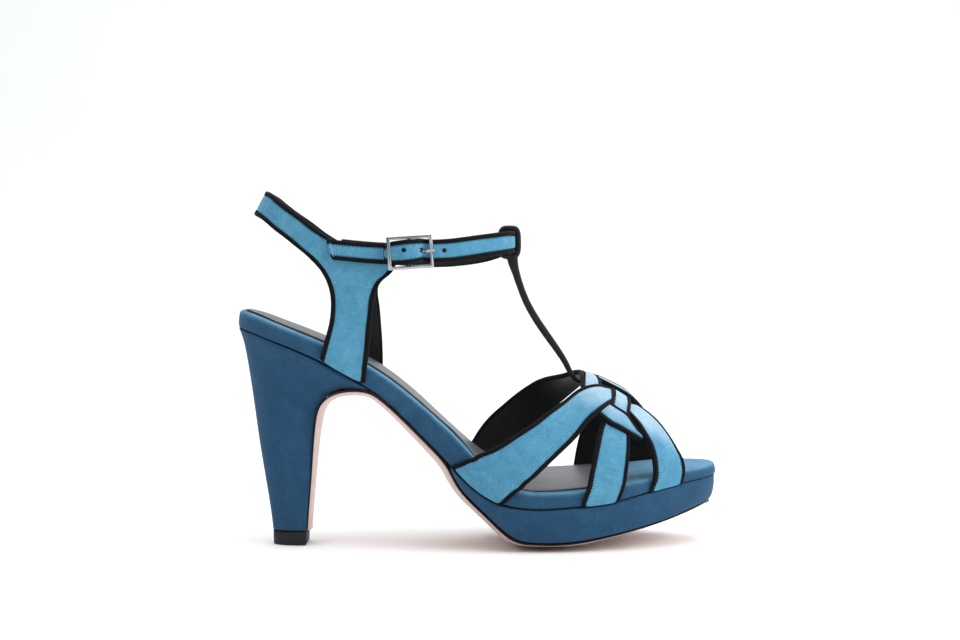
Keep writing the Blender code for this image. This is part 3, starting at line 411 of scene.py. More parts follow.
@dataclass(frozen=True)
class Last:
    """The foot that the sandal is made round."""

    length: float = 219.0
    gap: float = 0.3
    heel_round: float = 30.0
    heel_power: float = 2.3
    toe_round: float = 45.0
    toe_power: float = 2.4
    foot_power: float = 2.4
    rim_turn: float = 0.2
    ankle_middle: float = 62.0
    ankle_front: float = 125.0
    ankle_power: float = 2.3
    ankle_blend: float = 24.0
    least_half: float = 1.0
    forefoot_step: tuple[float, float] = (0.4, 0.006)
    ankle_step: tuple[float, float] = (0.8, 0.8)

    def half_width(self, station: Array) -> Array:
        """Half the width of the footbed, rounded off at both ends."""
        from_heel = np.clip(np.asarray(station, float) / self.heel_round, 0.0, 1.0)
        from_toe = np.clip((self.length - np.asarray(station, float)) / self.toe_round, 0.0, 1.0)
        heel = (1 - (1 - from_heel) ** self.heel_power) ** (1 / self.heel_power)
        toe = (1 - (1 - from_toe) ** self.toe_power) ** (1 / self.toe_power)
        return SOLE.read("half", station) * heel * toe

    def footbed(self, station: Array, side: Array) -> Array:
        """Height of the top of the footbed."""
        width = 2 * np.maximum(self.half_width(station), self.least_half)
        offset = np.clip((side - SOLE.read("middle", station)) / width, -0.5, 0.5)
        return SOLE.read("footbed", station) + SOLE.read("bank", station) * offset

    def forefoot(self, station: Array, turn: Array) -> Array:
        """Points over the forefoot, and down the rim of the footbed beyond its edges."""
        station, turn = np.asarray(station, float), np.asarray(turn, float)
        side, top = RIDGE.read("side", station), RIDGE.read("height", station)
        edge = SOLE.read("middle", station) + np.sign(turn) * (self.half_width(station) + self.gap)
        bed, seam = SOLE.read("footbed", station), SOLE.read("seam", station)
        angle = np.clip(np.abs(turn), 0.0, 1.0) * np.pi / 2
        y = side + (edge - side) * np.sin(angle) ** (2 / self.foot_power)
        dome = bed + (top - bed) * np.abs(np.cos(angle)) ** (2 / self.foot_power)
        rim = bed - (np.abs(turn) - 1) / self.rim_turn * (bed - seam)
        return np.stack([station, y, np.where(np.abs(turn) > 1, rim, dome)], -1)

    def ankle(self, turn: Array, height: Array) -> Array:
        """Points round the ankle: turn 0 at the back, 90 on the inner and 270 on the outer side."""
        turn, height = np.asarray(turn, float), np.asarray(height, float)
        back, half = ANKLE.read("back", height), ANKLE.read("half", height)
        cosine, sine = np.cos(np.radians(turn)), np.sin(np.radians(turn))
        ahead = self.ankle_front - self.ankle_middle
        reach = np.where(cosine > 0, self.ankle_middle - back, ahead)
        x = self.ankle_middle - np.sign(cosine) * reach * np.abs(cosine) ** (2 / self.ankle_power)
        free = np.sign(sine) * half * np.abs(sine) ** (2 / self.ankle_power)
        rim = SOLE.read("middle", x) + np.sign(sine) * (self.half_width(x) + self.gap)
        share = ease((height - SOLE.read("footbed", x)) / self.ankle_blend)
        return np.stack([x, rim + (free - rim) * share, height], -1)

    def ankle_turn(self, station: Array, height: Array) -> Array:
        """The turn from the back at which the inner side of the ankle reaches a station."""
        back = ANKLE.read("back", height)
        ahead = self.ankle_front - self.ankle_middle
        reach = np.where(station < self.ankle_middle, self.ankle_middle - back, ahead)
        share = np.clip((self.ankle_middle - station) / reach, -1.0, 1.0)
        power = self.ankle_power / 2
        return np.degrees(np.arccos(np.sign(share) * np.abs(share) ** power))

    def outer_turn(self, station: Array, height: Array) -> Array:
        """The turn from the back at which the outer side of the ankle reaches a station."""
        return FULL_TURN - self.ankle_turn(np.asarray(station, float), np.asarray(height, float))

    def point(self, wrap: Wrap, u: Array, v: Array) -> Array:
        """Points of the part of the foot that a strap lies on."""
        return self.forefoot(u, v) if wrap is Wrap.FOREFOOT else self.ankle(u, v)

    def normal(self, wrap: Wrap, u: Array, v: Array) -> Array:
        """Unit normals there, pointing away from the foot."""
        on_foot = wrap is Wrap.FOREFOOT
        du, dv = self.forefoot_step if on_foot else self.ankle_step
        across = self.point(wrap, u + du, v) - self.point(wrap, u - du, v)
        up = self.point(wrap, u, v + dv) - self.point(wrap, u, v - dv)
        normal = np.cross(across, up)
        normal = normal if on_foot else -normal
        return normal / np.linalg.norm(normal, axis=-1, keepdims=True)


LAST = Last()


def linear(colour: str) -> tuple[float, float, float, float]:
    """Turns an sRGB hex value into a linear colour.

    Args:
        colour: Six hex digits.

    Returns:
        Red, green, blue and an alpha of 1.
    """
    parts = [int(colour[k : k + 2], 16) / 255 for k in (0, 2, 4)]
    low, knee, scale, offset, power = 12.92, 0.04045, 1.055, 0.055, 2.4
    made = [p / low if p <= knee else ((p + offset) / scale) ** power for p in parts]
    return (*made, 1.0)


def add_node(
    tree: bpy.types.NodeTree,
    kind: str,
    settings: dict | None = None,
    links: dict | None = None,
) -> bpy.types.Node:
    """Adds a node with its settings and links.

    Args:
        tree: The tree that takes it.
        kind: The node's type.
        settings: Values by the name or number of a socket, or by the name of a property.
        links: Output sockets by the name or number of the input that takes them.

    Returns:
        The node.
    """
    node = tree.nodes.new(kind)
    for key, value in (settings or {}).items():
        if isinstance(key, int) or key in node.inputs:
            node.inputs[key].default_value = value
        else:
            setattr(node, key, value)
    for key, source in (links or {}).items():
        tree.links.new(source, node.inputs[key])
    return node


@dataclass(frozen=True)
class Finish:
    """A finish with two scales of mottle: broad patches of tone and a fine grain in relief."""

    name: str
    dark: str
    middle: str
    light: str
    roughness: float
    patch_mm: float
    grain_mm: float
    relief_mm: float
    patch_share: float = 0.6
    roughness_spread: float = 0.04
    metallic: float = 0.0
    specular: float = 0.5
    sheen: float = 0.0
    sheen_roughness: float = 0.5
    sheen_tint: str = "ffffff"
    coat: float = 0.0
    coat_roughness: float = 0.2
    tone_places: tuple[float, float, float] = (0.36, 0.5, 0.64)
    # Second colours for painted highlight or shade, mixed in by the painted_light attribute.
    painted_light: tuple[str, str, str] | None = None
    noise_detail: float = 3.0
    noise_roughness: float = 0.6
    patch_distortion: float = 0.5

    def _noise(
        self, tree: bpy.types.NodeTree, place: bpy.types.NodeSocket, size: float, distortion: float
    ) -> bpy.types.NodeSocket:
        """A mottle whose spots are a size in millimetres."""
        settings = {
            "Scale": 1 / (size * MM),
            "Detail": self.noise_detail,
            "Roughness": self.noise_roughness,
            "Distortion": distortion,
        }
        noise = add_node(tree, "ShaderNodeTexNoise", settings, {"Vector": place})
        return noise.outputs["Fac"]

    def _ramp(
        self, tree: bpy.types.NodeTree, tone: bpy.types.NodeSocket, colours: tuple[str, str, str]
    ) -> bpy.types.NodeSocket:
        """The colours over a tone from dark to light."""
        ramp = add_node(tree, "ShaderNodeValToRGB", None, {"Fac": tone})
        ramp.color_ramp.elements.new(self.tone_places[1])
        for element, spot, colour in zip(ramp.color_ramp.elements, self.tone_places, colours):
            element.position, element.color = spot, linear(colour)
        return ramp.outputs["Color"]

    def make(self) -> bpy.types.Material:
        """Builds the material, once.

        Returns:
            The material.
        """
        if self.name in bpy.data.materials:
            return bpy.data.materials[self.name]
        material = bpy.data.materials.new(self.name)
        material.use_nodes = True
        tree = material.node_tree
        place = add_node(tree, "ShaderNodeTexCoord").outputs["Object"]
        patch = self._noise(tree, place, self.patch_mm, self.patch_distortion)
        grain = self._noise(tree, place, self.grain_mm, 0.0)
        part = {"operation": "MULTIPLY", 1: self.patch_share}
        broad = add_node(tree, "ShaderNodeMath", part, {0: patch}).outputs["Value"]
        rest = {"operation": "MULTIPLY_ADD", 1: 1 - self.patch_share}
        tone = add_node(tree, "ShaderNodeMath", rest, {0: grain, 2: broad}).outputs["Value"]
        colour = self._ramp(tree, tone, (self.dark, self.middle, self.light))
        # Painted light: the second colours are mixed in as a painted highlight where a surface faces the
        # light, or as painted shade.
        if self.painted_light:
            lit = self._ramp(tree, tone, self.painted_light)
            share = add_node(tree, "ShaderNodeAttribute", {"attribute_name": PAINTED_LIGHT}).outputs["Fac"]
            mixed = {"Fac": share, "Color1": colour, "Color2": lit}
            colour = add_node(tree, "ShaderNodeMixRGB", None, mixed).outputs["Color"]
        limits = {
            "To Min": max(self.roughness - self.roughness_spread, 0.0),
            "To Max": min(self.roughness + self.roughness_spread, 1.0),
        }
        rough = add_node(tree, "ShaderNodeMapRange", limits, {"Value": tone})
        relief = {"Strength": 1.0, "Distance": self.relief_mm * MM}
        bump = add_node(tree, "ShaderNodeBump", relief, {"Height": grain})
        shader = tree.nodes["Principled BSDF"]
        for name, value in (
            ("Metallic", self.metallic),
            ("Specular IOR Level", self.specular),
            ("Sheen Weight", self.sheen),
            ("Sheen Roughness", self.sheen_roughness),
            ("Sheen Tint", linear(self.sheen_tint)),
            ("Coat Weight", self.coat),
            ("Coat Roughness", self.coat_roughness),
        ):
            shader.inputs[name].default_value = value
        tree.links.new(colour, shader.inputs["Base Color"])
        tree.links.new(rough.outputs["Result"], shader.inputs["Roughness"])
        tree.links.new(bump.outputs["Normal"], shader.inputs["Normal"])
        return material


# Split suede, dyed sky blue and brushed, with a dull nap. Its second colours are a painted highlight
# where a strap faces up towards the light. The fibres are finer than the render shows, so the grain
# is drawn about three times as coarse.
SKY_SUEDE = Finish(
    "split_suede_sky_blue", "437f9e", "4e8ba9", "5b97b4", 0.95, 5.0, 0.7, 0.13,
    patch_share=0.45, specular=0.1, sheen=0.25, sheen_tint="c3dbe8",
    painted_light=("8dabc0", "9cb6c9", "abc2d2"),
)
# The same suede dyed petrol blue and drawn over the heel and the platform.
PETROL_SUEDE = Finish(
    "split_suede_petrol_blue", "21435f", "264866", "2d516f", 0.95, 7.0, 0.7, 0.12,
    patch_share=0.45, specular=0.1, sheen=0.2, sheen_tint="a9c4d8",
)
# Petrol suede round the rim of the insole. On the footbed it is a good deal paler: a painted highlight
# where it faces up to the light.
FOOTBED_SUEDE = Finish(
    "split_suede_petrol_blue_painted_light", "244661", "294c69", "305572", 0.95, 7.0, 0.7, 0.12,
    patch_share=0.45, specular=0.1, sheen=0.2, sheen_tint="a9c4d8", painted_light=("4d7a97", "5a88a5", "6a97b3"),
)
# Cotton binding tape, woven and folded over the edges: nearly black, with a dry look.
BINDING = Finish(
    "woven_cotton_binding_black", "08070a", "0c0b0f", "131217", 0.85, 3.0, 0.5, 0.12,
    specular=0.12, sheen=0.03,
)
# Glazed goat lining: black with a low shine and a fine pebble.
LINING = Finish(
    "glazed_goat_lining_black", "090809", "0d0c0d", "141314", 0.5, 12.0, 0.8, 0.05,
    specular=0.3, roughness_spread=0.08,
)
# Pearl finished sheepskin sock: grey with a soft metal shine; painted shade makes it darker from the heel
# to the waist, and its paler second colours take over towards the ball.
SOCK_LEATHER = Finish(
    "pearl_sheepskin_grey", "35363a", "3f4044", "4b4c50", 0.42, 10.0, 0.9, 0.05,
    metallic=0.3, roughness_spread=0.08, painted_light=("55565b", "626368", "717277"),
)
# Waxed sole leather, dyed pink and burnished smooth.
SOLE_LEATHER = Finish(
    "waxed_sole_leather_pink", "bf9c96", "c8a69f", "d0b0a9", 0.42, 16.0, 1.2, 0.03,
    coat=0.15, roughness_spread=0.08,
)
# Edge ink on the cut sole: black and slightly glossy.
EDGE_INK = Finish(
    "sole_edge_ink_black", "09090b", "0e0d10", "151417", 0.42, 6.0, 0.8, 0.04,
    specular=0.3,
)
# Moulded heel rubber: dark grey black with a fine matt grit.
RUBBER = Finish(
    "moulded_heel_rubber_black", "17161a", "1d1c20", "252429", 0.62, 5.0, 0.6, 0.06,
    specular=0.3,
)
# Calf strap leather: black with a low shine.
STRAP_LEATHER = Finish(
    "calf_strap_leather_black", "08070a", "0c0b0e", "131215", 0.5, 8.0, 0.8, 0.06,
    specular=0.25, roughness_spread=0.08,
)
# Nickel plated steel, polished, with faint wipe marks in its shine.
NICKEL = Finish(
    "polished_nickel_plate", "9a9ba0", "a8a9ad", "b6b7bb", 0.14, 4.0, 0.7, 0.004,
    metallic=1.0, roughness_spread=0.05,
)
# Bonded nylon thread, black, and the same in pale blue on the tab.
BLACK_THREAD = Finish(
    "bonded_nylon_thread_black", "08070a", "0c0b0f", "121116", 0.7, 3.0, 0.4, 0.03,
    specular=0.2,
)
BLUE_THREAD = Finish(
    "bonded_nylon_thread_blue", "86b9d3", "97c6dd", "a9d2e6", 0.6, 3.0, 0.4, 0.03,
)
# Matt studio paper.
PAPER = Finish(
    "matt_studio_paper_white", "f8fafa", "f9fbfb", "fafcfc", 0.9, 400.0, 60.0, 0.0,
    specular=0.1,
)


def to_frame(points: Array) -> Array:
    """Points in millimetres of the maker's frame, moved into the shared frame in metres."""
    return (np.asarray(points, float) - ORIGIN) * MM


def only(*objects: Object) -> None:
    """Selects these objects and nothing else, and makes the first one active."""
    bpy.ops.object.select_all(action="DESELECT")
    for obj in objects:
        obj.select_set(True)
    if objects:
        bpy.context.view_layer.objects.active = objects[0]


def named(name: str) -> Object:
    """The object that was just added, under its own name."""
    obj = bpy.context.active_object
    obj.name = obj.data.name = name
    return obj


def dress(obj: Object, *finishes: Finish) -> None:
    """Gives an object the materials of these finishes, in slot order."""
    obj.data.materials.clear()
    for finish in finishes:
        obj.data.materials.append(finish.make())


def apply_modifier(obj: Object, kind: str, **settings: object) -> None:
    """Adds a modifier and applies it.

    Args:
        obj: The object.
        kind: The modifier's type.
        settings: The modifier's properties.
    """
    only(obj)
    modifier = obj.modifiers.new(kind.lower(), kind)
    for name, value in settings.items():
        setattr(modifier, name, value)
    bpy.ops.object.modifier_apply(modifier=modifier.name)


def subdivide(obj: Object, levels: int) -> None:
    """Smooths an object with applied subdivision and smooth shading."""
    apply_modifier(obj, "SUBSURF", levels=levels, render_levels=levels)
    bpy.ops.object.shade_smooth()


def settle(obj: Object) -> None:
    """Applies an object's place, turn and scale to its mesh."""
    only(obj)
    bpy.ops.object.transform_apply(location=True, rotation=True, scale=True)


def vertex_places(obj: Object) -> Array:
    """The vertices of a mesh as rows."""
    flat = np.empty(len(obj.data.vertices) * 3)
    obj.data.vertices.foreach_get("co", flat)
    return flat.reshape(-1, 3)


def move_vertices(obj: Object, places: Array) -> None:
    """Puts the vertices of a mesh at new places."""
    obj.data.vertices.foreach_set("co", np.ascontiguousarray(places, float).ravel())
    obj.data.update()


def note_painted_light(obj: Object, share: Array) -> None:
    """Stores, for each vertex, a share from none to all of a finish's second colours, that is of its
    painted highlight or shade.
    """
    layer = obj.data.attributes.new(PAINTED_LIGHT, "FLOAT", "POINT")
    layer.data.foreach_set("value", ease(share))


def paint_light_by_facing(
    obj: Object, way: tuple[float, float, float], limits: tuple[float, float]
) -> None:
    """Notes how much painted highlight a surface gets, from none to all as it turns to face a way.

    Args:
        obj: The suede piece.
        way: The way, of length one.
        limits: How squarely a surface faces it at none and at all.
    """
    facing = np.array([vertex.normal for vertex in obj.data.vertices]) @ np.array(way)
    note_painted_light(obj, (facing - limits[0]) / (limits[1] - limits[0]))


def rolled_band(name: str, rows: Array, slots: list[int], *finishes: Finish) -> Object:
    """A closed band: a grid that is rolled round a section, welded along its seam and filled.

    Args:
        name: The object's name.
        rows: Points in millimetres by step along the band and place round its section.
        slots: The material slot of each face round the section.
        finishes: The finishes in slot order.

    Returns:
        The band.
    """
    steps, columns = rows.shape[:2]
    only()
    bpy.ops.mesh.primitive_grid_add(x_subdivisions=columns, y_subdivisions=steps - 1, size=1.0)
    obj = named(name)
    grid = vertex_places(obj) + 0.5
    column = np.rint(grid[:, 0] * columns).astype(int)
    step = np.rint(grid[:, 1] * (steps - 1)).astype(int)
    dress(obj, *finishes)
    for face in obj.data.polygons:
        face.material_index = slots[min(column[k] for k in face.vertices)]
    move_vertices(obj, to_frame(rows[step, column % columns]))
    bpy.ops.object.mode_set(mode="EDIT")
    bpy.ops.mesh.select_all(action="SELECT")
    bpy.ops.mesh.remove_doubles(threshold=1e-7)
    bpy.ops.mesh.fill_holes(sides=0)
    bpy.ops.mesh.select_all(action="SELECT")
    bpy.ops.mesh.normals_make_consistent(inside=False)
    bpy.ops.object.mode_set(mode="OBJECT")
    return obj


@dataclass(frozen=True)
class Stitches:
    """A run of sewn stitches: where each one lies, which way it runs and which way it faces."""

    places: Array
    ways: Array
    normals: Array

    @staticmethod
    def on_path(points: Array, normals: Array, pitch: float) -> "Stitches":
        """Stitches at an even pitch along a path."""
        run = np.concatenate([[0.0], np.cumsum(np.linalg.norm(np.diff(points, axis=0), axis=1))])
        at = np.arange(pitch / 2, run[-1], pitch)
        places, ways, faced = (
            np.stack([np.interp(at, run, rows[:, k]) for k in range(3)], -1)
            for rows in (points, np.gradient(points, axis=0), normals)
        )
        return Stitches(places, ways, faced)

    def turned(self) -> "Stitches":
        """The same stitches laid across their path."""
        return Stitches(self.places, np.cross(self.normals, self.ways), self.normals)


@dataclass(frozen=True)
class Thread:
    """The sewing thread: one stitch is modelled and copied along its runs."""

    long: float = 1.25
    wide: float = 0.6
    high: float = 0.55
    segments: int = 6
    rings: int = 4

    def sew(self, name: str, runs: list[Stitches], finish: Finish) -> Object:
        """Sews stitches along their runs.

        Args:
            name: The object's name.
            runs: The runs of stitches.
            finish: The thread's finish.

        Returns:
            All the stitches as one piece.
        """
        only()
        bpy.ops.mesh.primitive_uv_sphere_add(segments=self.segments, ring_count=self.rings, radius=0.5)
        obj = named(name)
        stitch = vertex_places(obj)[:, [2, 0, 1]] * (self.long, self.wide, self.high)
        faces = [tuple(face.vertices) for face in obj.data.polygons]
        places, ways, normals = (
            np.concatenate([getattr(run, part) for run in runs])
            for part in ("places", "ways", "normals")
        )
        ways = ways / np.linalg.norm(ways, axis=1, keepdims=True)
        sides = np.cross(normals, ways)
        sides /= np.linalg.norm(sides, axis=1, keepdims=True)
        ups = np.cross(ways, sides)
        axes = np.stack([ways, sides, ups], 1)
        copies = places[:, None, :] + np.einsum("vk,nkj->nvj", stitch, axes)
        count = len(stitch)
        all_faces = [tuple(k + n * count for k in face) for n in range(len(places)) for face in faces]
        obj.data.clear_geometry()
        obj.data.from_pydata(to_frame(copies.reshape(-1, 3)).tolist(), [], all_faces)
        dress(obj, finish)
        only(obj)
        bpy.ops.object.shade_smooth()
        return obj


@dataclass(frozen=True)
class Strap:
    """A suede strap with a black binding over both edges and a leather lining."""

    name: str
    wrap: Wrap
    first: Array
    second: Array
    lift: Array
    wall: float
    steps: int
    ends: tuple[End, End]
    binding: float = 1.5
    binding_share: float = 0.3
    tuck_run: float = 7.0
    tuck_wall: float = 0.4
    round_run: float = 3.6
    round_least: float = 0.3
    stitch_pitch: float = 1.25
    stitch_out: float = 0.2
    across_count: int = 25
    fine: int = 8
    # The way, and how squarely a strap must face it, for the painted highlight.
    painted_light_way: tuple[float, float, float] = (0.25, 0.0, 0.968)
    painted_light_range: tuple[float, float] = (0.52, 1.02)

    def rows(self, share: Array) -> tuple[Array, Array, Array]:
        """Both edges and the lift at shares of the table's rows."""
        rows = np.arange(len(self.lift))
        at = share * (len(self.lift) - 1)
        first = np.stack([along(rows, self.first[:, k], at) for k in (0, 1)], -1)
        second = np.stack([along(rows, self.second[:, k], at) for k in (0, 1)], -1)
        return first, second, along(rows, self.lift, at)

    def _even(self, count: int) -> tuple[Array, Array]:
        """Shares of the rows at even steps of the strap's length, and the distance run at each."""
        dense = np.linspace(0.0, 1.0, self.steps * self.fine)
        first, second, _ = self.rows(dense)
        middle = (first + second) / 2
        points = LAST.point(self.wrap, middle[:, 0], middle[:, 1])
        run = np.concatenate([[0.0], np.cumsum(np.linalg.norm(np.diff(points, axis=0), axis=1))])
        even = np.linspace(0.0, run[-1], count)
        return np.interp(even, run, dense), even

    def _across(self, first: Array, second: Array) -> Array:
        """Distances along the foot, in millimetres, at even shares across the strap."""
        share = np.linspace(0.0, 1.0, self.across_count)[None, :, None]
        place = first[:, None, :] * (1 - share) + second[:, None, :] * share
        points = LAST.point(self.wrap, place[..., 0], place[..., 1])
        steps = np.linalg.norm(np.diff(points, axis=1), axis=-1)
        return np.concatenate([np.zeros((len(steps), 1)), np.cumsum(steps, axis=1)], axis=1)

    def _shares(self, across: Array, distance: Array) -> Array:
        """The shares across the strap at distances from its first edge, also beyond its edges."""
        even = np.linspace(0.0, 1.0, self.across_count)
        width = across[:, -1:]
        inside = np.clip(distance, 0.0, width)
        share = np.stack([np.interp(at, run, even) for at, run in zip(inside, across)])
        return share + (distance - inside) / width

    def _at_ends(self, run: Array, kind: End, reach: float) -> Array:
        """How far each step is past an end of this kind, as a share of its reach."""
        share = np.ones(len(run))
        if self.ends[0] is kind:
            share = np.minimum(share, run / reach)
        if self.ends[1] is kind:
            share = np.minimum(share, (run[-1] - run) / reach)
        return share

    def lay(
        self, rows: tuple[Array, Array, Array], share: Array, height: Array
    ) -> tuple[Array, Array]:
        """Points and normals at shares across the strap and heights over its inner face."""
        first, second, lift = rows
        place = first[:, None, :] * (1 - share[..., None]) + second[:, None, :] * share[..., None]
        base = LAST.point(self.wrap, place[..., 0], place[..., 1])
        normal = LAST.normal(self.wrap, place[..., 0], place[..., 1])
        return base + normal * (lift[:, None] + height)[..., None], normal

    def _bound(self, width: Array) -> Array:
        """The width of the binding as a share of its full width, less on a narrow strap."""
        return np.minimum(1.0, self.binding_share * width / self.binding)

    def build(self) -> Object:
        """Models the strap.

        Returns:
            The strap, smoothed, in its three finishes.
        """
        share, run = self._even(self.steps)
        rows = self.rows(share)
        run_across = self._across(*rows[:2])
        width = run_across[:, -1:]
        bound = self._bound(width)
        tuck = ease(self._at_ends(run, End.TUCKED, self.tuck_run))
        wall = (self.wall * (self.tuck_wall + (1 - self.tuck_wall) * tuck))[:, None]
        offset, part, rise = (BINDING_EDGE.column(name) for name in BINDING_EDGE.columns)
        edge = offset / offset[-1] * self.binding * bound
        edge_height = part * wall + rise * wall / self.wall
        inner = self.binding * bound
        face = inner + SUEDE_FACE.column("place") * (width - 2 * inner)
        face_height = wall + SUEDE_FACE.column("rise") * wall / self.wall
        back = LINING_BACK.column("place") * width
        distance = np.concatenate([edge, face, width - edge[:, ::-1], back], axis=1)
        across = self._shares(run_across, distance)
        height = np.concatenate(
            [edge_height, face_height, edge_height[:, ::-1], np.zeros(back.shape)], axis=1
        )
        left = np.clip(self._at_ends(run, End.ROUNDED, self.round_run), 0.0, 1.0)
        spread = self.round_least + (1 - self.round_least) * np.sqrt(1 - (1 - left) ** 2)
        across = 0.5 + (across - 0.5) * spread[:, None]
        points, _ = self.lay(rows, across, height)
        edges, faces, backs = len(offset), len(SUEDE_FACE.rows), len(LINING_BACK.rows)
        slots = [1] * edges + [0] * (faces - 1) + [1] * edges + [2] * (backs + 1)
        strap = rolled_band(self.name, points, slots, SKY_SUEDE, BINDING, LINING)
        subdivide(strap, 1)
        # Painted highlight where the strap faces up and towards the toe, where the light comes from.
        paint_light_by_facing(strap, self.painted_light_way, self.painted_light_range)
        return strap

    def seams(self) -> list[Stitches]:
        """The short stitches over the inner edges of both bindings."""
        share, run = self._even(self.steps * self.fine)
        rows = self.rows(share)
        run_across = self._across(*rows[:2])
        width = run_across[:, -1:]
        inset = self.binding * self._bound(width) + self.stitch_out
        tuck = ease(self._at_ends(run, End.TUCKED, self.tuck_run))
        height = (self.wall * (self.tuck_wall + (1 - self.tuck_wall) * tuck))[:, None]
        runs = []
        for place in (inset, width - inset):
            points, normals = self.lay(rows, self._shares(run_across, place), height)
            run_on = Stitches.on_path(points[:, 0], normals[:, 0], self.stitch_pitch)
            runs.append(run_on.turned())
        return runs


def hand_over(piece: Object, node: str, stands_for: bool = True) -> None:
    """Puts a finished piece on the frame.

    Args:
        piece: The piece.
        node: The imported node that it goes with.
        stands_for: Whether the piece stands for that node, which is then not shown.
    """
    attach(piece, BODY)
    if stands_for:
        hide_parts(node)
    LOG.info("%s: %d faces", piece.name, len(piece.data.polygons))


@dataclass(frozen=True)
class Vamp:
    """The crossed straps over the forefoot."""

    wall: float = 2.2
    # The name of each strap, its table, the steps along it and its ends.
    cuts: tuple[tuple[str, Table, int, tuple[End, End]], ...] = (
        ("vamp_outer_rear", OUTER_REAR, 90, (End.TUCKED, End.TUCKED)),
        ("vamp_inner_rear", INNER_REAR, 84, (End.TUCKED, End.CUT)),
        ("vamp_middle", MIDDLE, 84, (End.TUCKED, End.TUCKED)),
        ("vamp_outer_front", OUTER_FRONT, 48, (End.TUCKED, End.CUT)),
        ("vamp_ring", RING, 30, (End.CUT, End.CUT)),
    )

    def _strap(self, name: str, cut: Table, steps: int, ends: tuple[End, End]) -> Strap:
        """One strap of the vamp from its table."""
        rear = np.stack([cut.column("rear"), cut.column("rear_round")], -1)
        front = np.stack([cut.column("front"), cut.column("front_round")], -1)
        return Strap(name, Wrap.FOREFOOT, rear, front, cut.column("lift"), self.wall, steps, ends)

    def build(self) -> None:
        """Models the straps and their seams."""
        straps = [self._strap(*cut) for cut in self.cuts]
        for strap in straps:
            hand_over(strap.build(), "vamp")
        runs = [run for strap in straps for run in strap.seams()]
        hand_over(Thread().sew("vamp_seams", runs, BLACK_THREAD), "vamp", stands_for=False)


@dataclass(frozen=True)
class Quarter:
    """Both side straps and the sling."""

    wall: float = 2.2
    steps: int = 150
    binding: float = 1.65
    inner_ahead: float = 2.0

    def _edges(self, front: str, ahead: float, lower: float, turned: float) -> list[Array]:
        """The rear and the front edge of one side strap, up to the middle of the sling."""
        fade = np.linspace(1.0, 0.0, len(SIDE.rows))
        drop = lower * SIDE.column("inner_drop")
        edges = []
        for stations, heights in (
            (SIDE.column("rear") + ahead * fade, SIDE.column("rear_height") - drop),
            (SIDE.column(front), SIDE.column("front_height") - drop),
        ):
            turns = turned * LAST.ankle_turn(stations, heights)
            turns[-1] = 0.0
            edges.append(np.stack([turns, heights], -1))
        return edges

    def build(self) -> None:
        """Models the band and its seams."""
        inner = self._edges("inner_front", self.inner_ahead, 1.0, 1.0)
        outer = self._edges("front", 0.0, 0.0, -1.0)
        rear, front = (np.concatenate([a, b[-2::-1]]) for a, b in zip(inner, outer))
        ends, lift = (End.TUCKED, End.TUCKED), np.zeros(len(rear))
        strap = Strap(
            "quarter_band", Wrap.ANKLE, rear, front, lift, self.wall, self.steps, ends, binding=self.binding
        )
        hand_over(strap.build(), "quarter")
        seams = Thread().sew("quarter_seams", strap.seams(), BLACK_THREAD)
        hand_over(seams, "quarter", stands_for=False)


